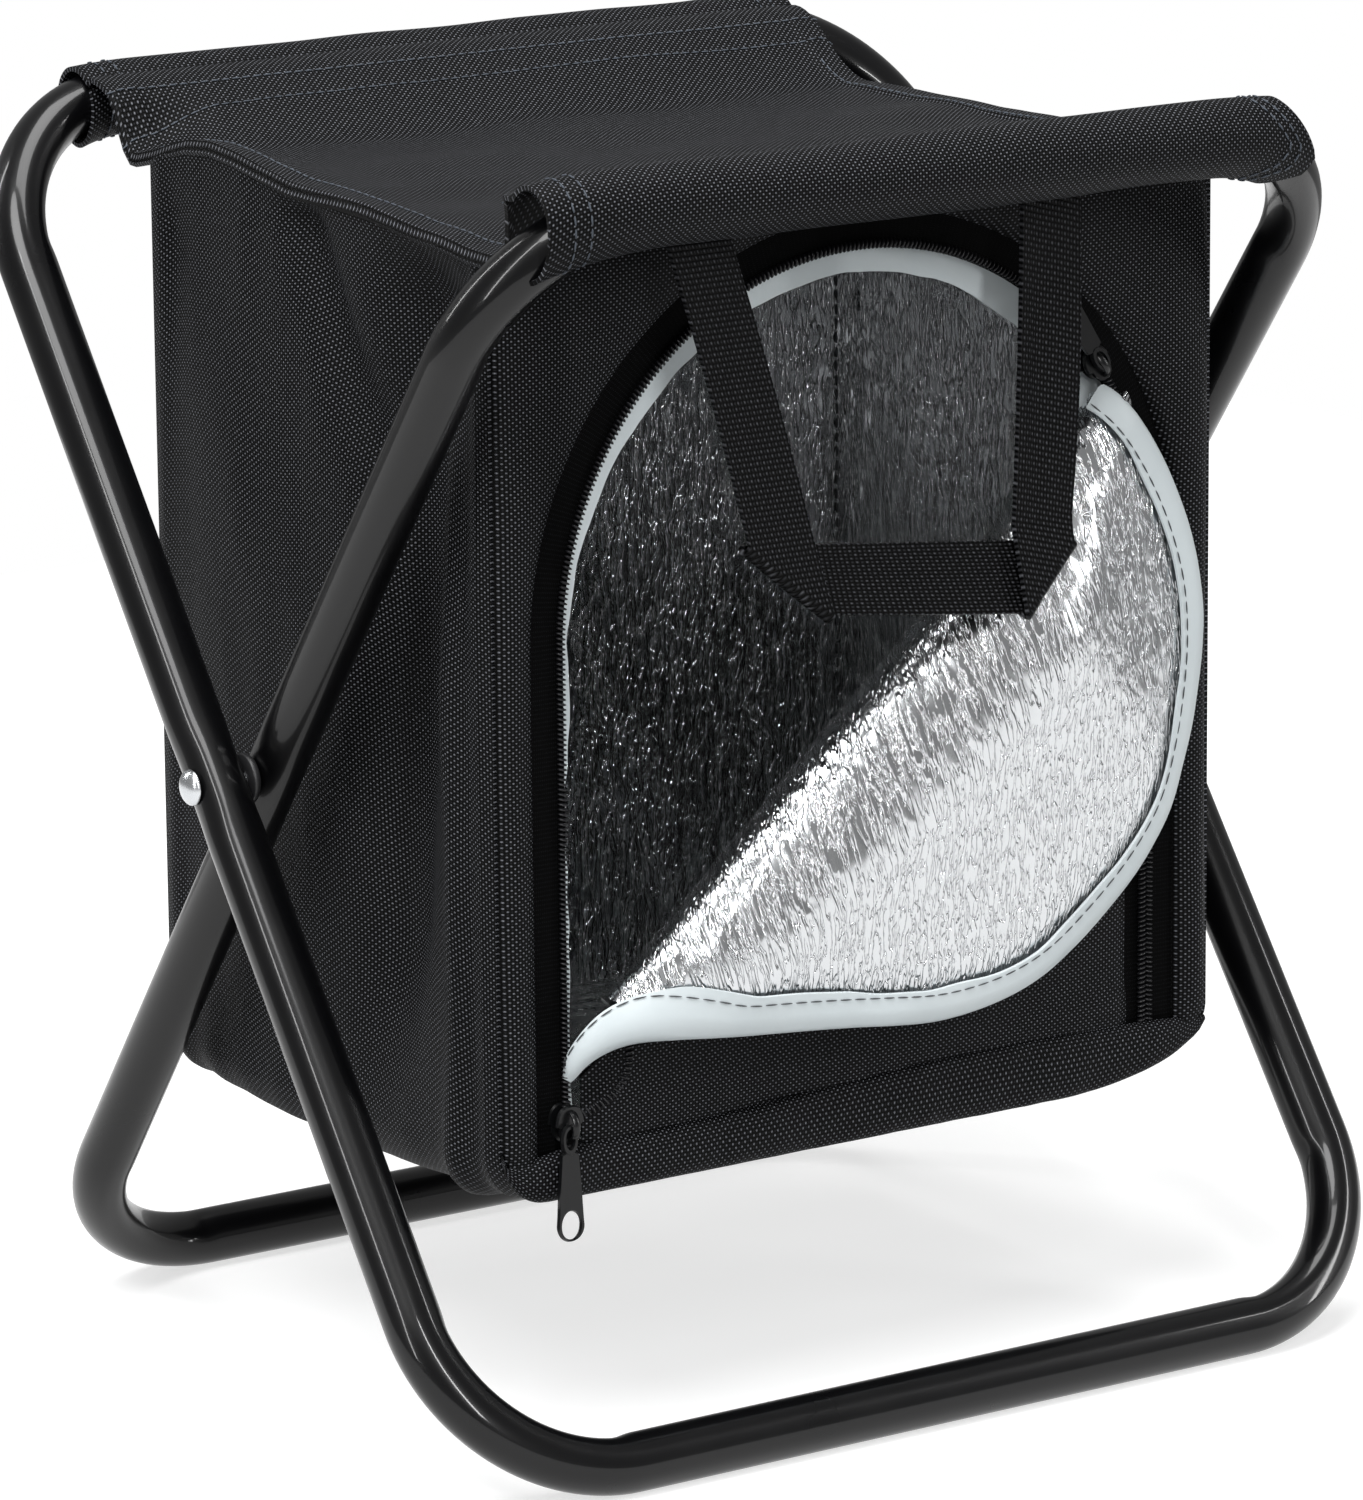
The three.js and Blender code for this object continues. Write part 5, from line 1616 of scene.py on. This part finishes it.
    def edging(self, name: str, line: Array, profile: Sequence[Pair], material: Material,
               wobble: float) -> Piece:
        """A strip or a folded binding along the free edge.

        Args:
            name: Object name.
            line: The edge on the flat flap.
            profile: Closed section, as distance in from the edge and layer.
            material: Finish.
            wobble: Unevenness of the inner edge.

        Returns:
            The strip as an object.
        """
        inside = self.inward(line)
        run = arc_lengths(line, 0)
        rings = []
        for depth, layer in profile:
            uneven = wobble * lattice_noise(run / 15, np.zeros_like(run), 19) * smoothstep(3, 9, depth)
            lift = 0.35 * wobble * lattice_noise(run / 11, np.full_like(run, depth / 6), 23)
            reach = np.where(depth > 0, self.grown(run), 1.0) * (depth + uneven)
            ring = self.folded(line + inside * reach[:, None], layer)
            ring[:, 1] -= lift
            rings.append(ring)
        rings = np.stack(rings, 1)
        girth = arc_lengths(rings, 1)
        uvs = np.stack([run[:, None] + 0 * girth, girth], -1)
        return swept_tube(name, rings, material, uvs)

    def zipped_grid(self, half: float, left: float, low: float, least: float, columns: int, rows: int) -> Array:
        """A grid over the part of the flap below the roll.

        Args:
            half: Half width of the arch that bounds it.
            left: Where it starts on the left.
            low: Height of its lower edge.
            least: Least height of its upper edge.
            columns: Places across it.
            rows: Places up it.

        Returns:
            Points (x, z).
        """
        x = np.linspace(left, half, columns)
        line_z = self.axis[1] + (x - self.axis[0]) * self.along[1] / self.along[0]
        top = np.minimum(line_z + 0.4, SIZES.zip_centre_z + np.sqrt(np.maximum(half ** 2 - x ** 2, 0)))
        z = low + (np.maximum(top, least) - low)[:, None] * np.linspace(0, 1, rows)
        return np.stack([np.repeat(x[:, None], rows, 1), z], -1)

    def zipped_part(self) -> Piece:
        """The cloth below the roll that the zip still holds.

        Returns:
            The cloth as an object.
        """
        half = self.zipped_half
        place = self.zipped_grid(half, -half, 80.5, 83.5, 110, 60)
        x, z = place[..., 0], place[..., 1]
        side = smoothstep(half, half - 6, np.abs(x))
        lift = side * (0.8 * lattice_noise(x / 26, z / 20, 83) + 1.2 * ridge(z, 92, 8)) - 1.2 * (1 - side)
        points = np.stack([x, SIZES.front_y - lift, z], -1)
        return thick_sheet("zipped_flap_cloth", points, place, 1.3, self.finish.oxford, Look.FRONT)

    def zipped_lining(self) -> Piece:
        """Foil behind the part that is still zipped.

        Returns:
            The lining as an object.
        """
        half = self.zipped_foil_half
        place = self.zipped_grid(half, 8 - half, 91, 92.5, 80, 50)
        points = on_wall(place, SIZES.front_y + 2.0)
        return thick_sheet("zipped_flap_lining", points, place, self.foam, self.finish.foil, Look.FRONT)

    def closed_zip(self) -> tuple[Piece, Piece]:
        """The flap's half of the zip where it is still closed.

        Returns:
            Its tape and its coil.
        """
        line = arch_line(SIZES.zip_radius, 81.0, 1.5)
        right = line[(line[:, 0] > 0) & (line[:, 1] < self.closed_below)]
        inside = self.inward(right)
        depth = np.linspace(1.4, 6.5, 4)
        points = on_wall(right[:, None, :] + inside[:, None, :] * depth[None, :, None], SIZES.front_y + self.tape)
        uvs = np.stack(np.broadcast_arrays(arc_lengths(right, 0)[:, None], depth[None, :]), -1)
        tape = thick_sheet("zipped_flap_tape", points, uvs, self.tape, self.finish.zip_tape, Look.FRONT)
        coil_line = on_wall(right + inside * 1.1, SIZES.front_y - 0.1)
        loose_end = np.array(self.loose_teeth)
        run = np.linspace(0, len(loose_end) - 1, 40)
        tail = np.stack([np.interp(run, np.arange(len(loose_end)), loose_end[:, k]) for k in (0, 1, 2)], 1)
        coil = self.beads.lay("zipped_flap_coil", [coil_line[::-1], tail], COIL_TURN, self.finish.coil, -12)
        return tape, coil

    def part_roll(self, piece: Piece, dip_deg: float, drift: float, stays: float, goes: float) -> None:
        """Bake a rolled piece's place into its vertices.

        Args:
            piece: The piece.
            dip_deg: How far the line between the two points down from straight out, in degrees; not used.
            drift: Share of that line along the crease; not used.
            stays: Distance along the line up to which the piece stays with the wall; not used.
            goes: Distance from which it goes with the flap; not used.
        """
        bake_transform(piece)

    def build(self) -> None:
        """Make the flap's pieces and set its zipped part on the front wall's body."""
        thick, wide = self.cloth + self.foam, self.binding_width
        cloth = self.layer("rolled_flap_cloth", self.edge - 0.6, self.cloth, self.cloth, self.finish.oxford,
                           0.1, 4, 150, 90)
        dress(cloth, "oxford", "flap_panel")
        foil = self.layer("rolled_flap_foil", self.edge - 1.2, thick, self.foam - 0.2, self.finish.foil, 0.35, 20)
        dress(foil, "foil", "flap_liner")
        hem = self.edging("flap_binding_tape", self.edge_line(0.55), [
            (wide, thick + 0.1), (wide - 0.2, thick + 0.8), (4.5, thick + 1.2), (0.8, thick + 1.0),
            (-0.4, thick - 0.4), (-0.8, thick / 2), (-0.3, 0.2), (1.0, -0.7), (wide * 0.7, -0.8),
            (wide * 0.7, -0.2), (1.2, 0.0), (0.2, thick / 2), (1.0, thick + 0.2)], self.finish.vinyl, 0.8)
        dress(hem, "vinyl", "flap_binding")
        stitch_line = self.edge_line(0.62)
        inset = (wide - 1.5) * self.grown(2.0 * np.arange(len(stitch_line)))[:, None]
        stitched = self.folded(stitch_line + self.inward(stitch_line) * inset, thick + 1.15)
        stitches = self.beads.lay("flap_binding_stitches", [stitched], BINDING_STITCH, self.finish.dark_thread)
        dress(stitches, "vinyl")
        tape = self.edging("flap_zip_half", self.edge_line(0.7),
                           [(-1.0, -0.9), (-1.0, -1.9), (8.0, -1.9), (8.0, -0.9)], self.finish.zip_tape, 0.0)
        dress(tape, "zip_tape", "flap_zip_tape")
        for piece in (cloth, hem, stitches, tape):
            self.part_roll(piece, *self.cloth_parting)
        self.part_roll(foil, *self.foil_parting)
        lower = dress(self.zipped_part(), "oxford", "flap_lower")
        lining = dress(self.zipped_lining(), "foil", "flap_lower_liner")
        closed_tape, closed_coil = self.closed_zip()
        dress(closed_tape, "zip_tape", "flap_lower_tape")
        dress(closed_coil, "zip_tape")
        for piece in (lower, lining, closed_tape, closed_coil):
            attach(piece, "front_wall")


@dataclass
class CarryHandle:
    """The webbing handle: two strands and a bar, folded flat at both corners."""

    finish: FinishShelf
    width: float = 18.7
    thickness: float = 1.5
    y: float = -112.4
    left_top: Pair = (-75.5, 337.0)
    left_corner: Pair = (-44.5, 236.5)
    right_corner: Pair = (36.6, 228.2)
    right_top: Pair = (40.3, 337.0)
    across_points: int = 15

    def build(self) -> None:
        """Make the handle as one continuous ribbon and set it on its body."""
        stops = [np.array(p) for p in (self.left_top, self.left_corner, self.right_corner, self.right_top)]
        runs = [(b - a) / np.linalg.norm(b - a) for a, b in zip(stops, stops[1:])]
        folds = [runs[1] - runs[0], runs[2] - runs[1]]
        across = np.linspace(-self.width / 2, self.width / 2, self.across_points)
        side = np.array([-runs[0][1], runs[0][0]])
        lines = []
        for w in across:
            origin = stops[0] + side * w
            origin = origin + runs[0] * (self.left_top[1] - origin[1]) / runs[0][1]
            first = self.meet(origin, runs[0], stops[1], folds[0])
            second = self.meet(first, runs[1], stops[2], folds[1])
            last = second + runs[2] * (self.right_top[1] - second[1]) / runs[2][1]
            lines.append(self.ribbon_line([origin, first, second, last], folds, w))
        points = np.array(lines)
        uvs = np.stack([arc_lengths(points, 1), np.repeat(across[:, None], points.shape[1], 1)], -1)
        handle = thick_sheet("carry_handle_webbing", points, uvs, self.thickness, self.finish.webbing)
        dress(handle, "webbing", "carry_handle")
        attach(handle, "handle")

    @staticmethod
    def meet(origin: Array, run: Array, corner: Array, fold: Array) -> Array:
        """Where a thread line meets the fold through a corner."""
        normal = fold / np.linalg.norm(fold)
        return origin + run * ((corner - origin) @ normal) / (run @ normal)

    def ribbon_line(self, stops: Sequence[Array], folds: Sequence[Array], w: float) -> Array:
        """One thread line of the ribbon with its depth: the bar lies behind the strands.

        Args:
            stops: Top, fold, fold and top seen from the front.
            folds: Normals of the two folds, pointing away from the turned corner.
            w: Place across the ribbon.

        Returns:
            Points of the line.
        """
        back, front = self.y - self.thickness - 0.3, self.y + 0.2
        line: list[Array] = []
        steps = np.linspace(0, 1, 40)[:, None]

        def run(a: Array, b: Array, y: float, bow: float) -> None:
            """Add a straight stretch that bows a little towards the viewer."""
            flat = a + (b - a) * steps
            line.extend(np.stack([flat[:, 0], y - bow * np.sin(np.pi * steps[:, 0]), flat[:, 1]], 1))

        def turn(at: Array, fold: Array, y_from: float, y_to: float) -> None:
            """Add the rounded fold between two layers.

            Args:
                at: Where the line meets the fold.
                fold: The fold's normal.
                y_from: Depth of the layer before it.
                y_to: Depth of the layer after it.
            """
            out = -fold / np.linalg.norm(fold)
            middle, half = (y_from + y_to) / 2, (y_from - y_to) / 2
            for a in np.linspace(0, math.pi, 7)[1:-1]:
                spot = at + out * abs(half) * math.sin(a)
                line.append(np.array([spot[0], middle + half * math.cos(a), spot[1]]))

        run(stops[0], stops[1], back, 1.6)
        turn(stops[1], folds[0], back, front)
        run(stops[1], stops[2], front, 0.8)
        turn(stops[2], folds[1], front, back)
        run(stops[2], stops[3], back, 1.0)
        ribbon = np.array(line)
        # The bar tips forward at its lower edge and the right strand is twisted a little
        ribbon[:, 1] -= 0.35 * np.clip(242 - ribbon[:, 2], 0, 30) * smoothstep(-60, 30, ribbon[:, 0])
        ribbon[:, 1] += 0.25 * w * smoothstep(30, 36, ribbon[:, 0]) * ridge(ribbon[:, 2], 280, 40)
        return ribbon


@dataclass
class ZipRunners:
    """Two zip sliders with their pulls, and the spigots inside the rails, which keep their solids."""

    finish: FinishShelf
    pull_length: float = 25.0
    pull_top: float = 2.5
    pull_end: float = 4.3
    hole: Pair = (2.9, 3.8)
    thickness: float = 1.5

    def plate(self, outer: Array, inner: Array, thickness: float) -> Body:
        """A plate with a hole and eased edges.

        Args:
            outer: Outline (x, z).
            inner: The hole's outline, point by point.
            thickness: Thickness.

        Returns:
            Points and faces.
        """
        half, ease = thickness / 2, 0.35
        inward = (inner - outer) / np.linalg.norm(inner - outer, axis=1, keepdims=True)
        loops = [(outer, 0.0), (outer + inward * ease, -half), (inner - inward * ease, -half),
                 (inner, 0.0), (inner - inward * ease, half), (outer + inward * ease, half)]
        rings = np.stack([np.stack([o[:, 0], np.full(len(o), y), o[:, 1]], 1) for o, y in loops])
        return rings.reshape(-1, 3), grid_faces(len(loops), len(outer), wrap_rows=True, wrap_columns=True)

    def pull_shape(self) -> list[Body]:
        """A tapered plate with an oval hole in its round end, and the eye that hangs it.

        Returns:
            The two bodies, hung from the origin.
        """
        turn = full_turn(48)
        end_z = -self.pull_length + self.pull_end
        hole = np.stack([self.hole[0] * np.cos(turn), end_z + 0.2 + self.hole[1] * np.sin(turn)], 1)
        c, sn = np.cos(turn), np.sin(turn)
        slope = (self.pull_end - self.pull_top) / -end_z
        # Distance from the hole's middle to the sides, which close in towards the eye
        side = self.pull_end / np.maximum(np.abs(c) + slope * sn, 1e-6)
        reach = np.where(sn > 0, np.minimum(side, -end_z / np.maximum(sn, 1e-6)), self.pull_end)
        outer = np.stack([reach * c, end_z + reach * sn], 1)
        eye_out = np.stack([2.6 * c, 2.6 + 4.2 * sn], 1)
        eye_in = np.stack([1.2 * c, 2.8 + 2.5 * sn], 1)
        return [self.plate(outer, hole, self.thickness), self.plate(eye_out, eye_in, 1.9)]

    def slider_shape(self) -> list[Body]:
        """A shouldered body over the coil, and the bridge that holds the pull.

        Returns:
            Front plate, rear plate and bridge, about the origin.
        """
        turn = full_turn(40)
        wide = np.where(np.sin(turn) > 0, 4.4, 3.4)
        outline = np.stack([wide * np.sign(np.cos(turn)) * np.abs(np.cos(turn)) ** 0.7, 5.4 * np.sin(turn)], 1)
        middle = outline * 0.02
        front, rear = self.plate(outline, middle, 1.6), self.plate(outline, middle, 1.2)
        front[0][:, 1] -= 2.0
        rear[0][:, 1] += 1.9
        rows, columns = 14, 12
        arc, angle = np.linspace(0, np.pi, rows), full_turn(columns)
        path = np.stack([0 * arc, -2.4 - 3.1 * np.sin(arc), 3.8 * np.cos(arc)], 1)
        out = np.stack([0 * arc, -np.sin(arc), np.cos(arc)], 1)
        across = 1.15 * np.cos(angle)[None, :, None] * np.array([1.0, 0, 0])
        bridge = path[:, None, :] + across + 0.6 * np.sin(angle)[None, :, None] * out[:, None, :]
        faces = grid_faces(rows, columns, wrap_columns=True)
        faces += [list(range(columns)), [(rows - 1) * columns + k for k in reversed(range(columns))]]
        return [front, rear, (bridge.reshape(-1, 3), faces)]

    def make(self, name: str, shapes: Sequence[Body], turn: Matrix, place: Triple) -> Piece:
        """Join shapes into one piece, turned and moved to its place.

        Args:
            name: Object name.
            shapes: The bodies.
            turn: Their turn about the origin.
            place: Where the origin goes, in millimetres.

        Returns:
            The piece as an object.
        """
        points, faces, first = [], [], 0
        for spots, quads in shapes:
            points.append(spots)
            faces += [[first + k for k in quad] for quad in quads]
            first += len(spots)
        moved = np.concatenate(points) @ np.array(turn.to_3x3()).T + np.array(place)
        return new_piece(name, moved, faces, self.finish.enamel, sharp_deg=35)

    def build(self) -> None:
        """Make both runners and dress the spigots."""
        upright = Matrix.Identity(4)
        lean = Matrix.Rotation(math.radians(1.5), 4, "Y") @ Matrix.Rotation(math.radians(-3), 4, "X")
        along = Matrix.Rotation(math.radians(-36.5), 4, "Y")
        turned_up = along @ Matrix.Rotation(math.pi, 4, "X")
        for side, body_turn, body_place, pull_turn, pull_place in (
                ("left", upright, (-98.3, -86.0, 91.6), lean, (-100.0, -90.2, 85.6)),
                ("right", along, (77.2, -85.6, 277.1), turned_up, (74.5, -90.2, 281.0))):
            body = self.make(f"{side}_slider_body", self.slider_shape(), body_turn, body_place)
            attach(dress(body, "slider", f"zip_slider_{side}"), f"{side}_slider")
            pull = self.make(f"{side}_pull_tab", self.pull_shape(), pull_turn, pull_place)
            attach(dress(pull, "pull", f"zip_pull_{side}"), f"{side}_pull")
        for name in ("outer_tube_joiner", "inner_tube_joiner"):
            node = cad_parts[name]
            node.data.materials.clear()
            node.data.materials.append(self.finish.zinc)


@dataclass
class Studio:
    """Pale floor, soft light and the camera of the picture."""

    azimuth: float = -34.33
    elevation: float = 13.16
    roll: float = -0.53
    distance: float = 2226.54
    focal_px: float = 7996.98
    image_height_px: float = 1500.0
    target: Triple = (-1.70, -0.77, 163.86)
    sensor: float = 36.0
    floor_reach: float = 1.0
    floor_grey: float = 0.42
    floor_glow: float = 0.66
    sun_strength: float = 2.6
    sun_spread_deg: float = 30.0
    sun_heading: Triple = (0.6, 0.3, -1.0)
    lamp_target: Triple = (0.0, 0.0, 0.17)
    sky_light: float = 0.08
    sky_mirrored: float = 0.25

    def camera(self) -> None:
        """Set the camera that was fitted to the picture."""
        a, e, r = (math.radians(v) for v in (self.azimuth, self.elevation, self.roll))
        back = Vector((math.sin(a) * math.cos(e), -math.cos(a) * math.cos(e), math.sin(e)))
        right = Vector((math.cos(a), math.sin(a), 0))
        up = back.cross(right)
        right, up = math.cos(r) * right + math.sin(r) * up, -math.sin(r) * right + math.cos(r) * up
        data = bpy.data.cameras.new("camera")
        data.sensor_width = self.sensor
        data.lens = self.focal_px * self.sensor / self.image_height_px
        data.clip_start, data.clip_end = 0.05, 50
        camera = linked("camera", data)
        place = (Vector(self.target) + back * self.distance) * MM
        camera.matrix_world = Matrix.Translation(place) @ Matrix((right, up, back)).transposed().to_4x4()
        bpy.context.scene.camera = camera

    @staticmethod
    def seen_ray(tree: Tree, mirrored: float) -> bpy.types.Node:
        """How bright the pale background is to a ray.

        Args:
            tree: The tree that asks.
            mirrored: Share of it that reflections and glass show.

        Returns:
            A node that gives 1 for the camera's rays, the share for reflections and glass, and else 0.
        """
        path = add_node(tree, "ShaderNodeLightPath").outputs
        seen = path["Is Camera Ray"]
        for kind in ("Is Glossy Ray", "Is Transmission Ray"):
            part = add_node(tree, "ShaderNodeMath", {1: mirrored}, {0: path[kind]}, operation="MULTIPLY")
            seen = add_node(tree, "ShaderNodeMath", links={0: seen, 1: part}, operation="MAXIMUM")
        return seen

    def floor(self) -> None:
        """A wide pale floor that stays white but keeps the stool's shadow."""
        mesh = bpy.data.meshes.new("floor")
        r = self.floor_reach
        mesh.from_pydata([(-r, -r, 0), (r, -r, 0), (r, r, 0), (-r, r, 0)], [], [(0, 1, 2, 3)])
        floor = linked("floor", mesh)
        material = bpy.data.materials.new("white paper sweep")
        tree = empty_tree(material)
        glow = add_node(tree, "ShaderNodeMath", {1: self.floor_glow}, {0: self.seen_ray(tree, 1.0)},
                        operation="MULTIPLY")
        paper = add_node(tree, "ShaderNodeBsdfDiffuse", {"Color": (*[self.floor_grey] * 3, 1)})
        light = add_node(tree, "ShaderNodeEmission", {"Color": (1, 1, 1, 1)}, {"Strength": glow})
        both = add_node(tree, "ShaderNodeAddShader", links={0: paper, 1: light})
        add_node(tree, "ShaderNodeOutputMaterial", links={"Surface": both})
        mesh.materials.append(material)

    def lamp(self, name: str, place: Triple, size: Pair, watts: float) -> None:
        """A soft box that looks at the stool's middle.

        Args:
            name: Name of the lamp.
            place: Its place, in metres.
            size: Its width and height, in metres.
            watts: Its power.
        """
        data = bpy.data.lights.new(name, "AREA")
        data.shape = "RECTANGLE"
        data.size, data.size_y = size
        data.energy = watts
        lamp = linked(name, data)
        lamp.location = place
        lamp.rotation_euler = (Vector(self.lamp_target) - Vector(place)).to_track_quat("-Z", "Y").to_euler()

    def build(self) -> None:
        """Make the camera, floor, lamps and world."""
        scene = bpy.context.scene
        scene.view_settings.view_transform = "Standard"
        self.camera()
        self.floor()
        sun = bpy.data.lights.new("broad top light", "SUN")
        sun.energy, sun.angle = self.sun_strength, math.radians(self.sun_spread_deg)
        linked(sun.name, sun).rotation_euler = Vector(self.sun_heading).to_track_quat("-Z", "Y").to_euler()
        self.lamp("left strip", (-1.9, -0.5, 1.0), (0.12, 1.7), 13)
        self.lamp("front strip", (-0.75, -2.1, 1.3), (0.14, 1.5), 27)
        self.lamp("right strip", (1.7, -1.3, 0.9), (0.12, 1.5), 14)
        self.lamp("back strip", (-1.2, 1.6, 1.3), (0.12, 1.5), 10)
        self.lamp("overhead box", (0.1, -0.1, 2.2), (1.1, 1.1), 34)
        scene.world = bpy.data.worlds.new("studio")
        tree = empty_tree(scene.world)
        strength = add_node(tree, "ShaderNodeMapRange", {3: self.sky_light, 4: 1.0},
                            {0: self.seen_ray(tree, self.sky_mirrored)})
        sky = add_node(tree, "ShaderNodeBackground", {"Color": (1, 1, 1, 1)}, {"Strength": strength})
        add_node(tree, "ShaderNodeOutputWorld", links={"Surface": sky})


def main() -> None:
    """Build every sub-assembly in order."""
    logging.basicConfig(level=logging.INFO, format="%(message)s")
    Studio().build()
    finish = FinishShelf()
    beads = BeadRun()
    for assembly in (CrossedFrame(finish), SeatSling(finish, beads), BagShell(finish), EndWalls(finish, beads),
                     RolledFlap(finish, beads), CarryHandle(finish), ZipRunners(finish)):
        assembly.build()


if __name__ == "__main__":
    main()
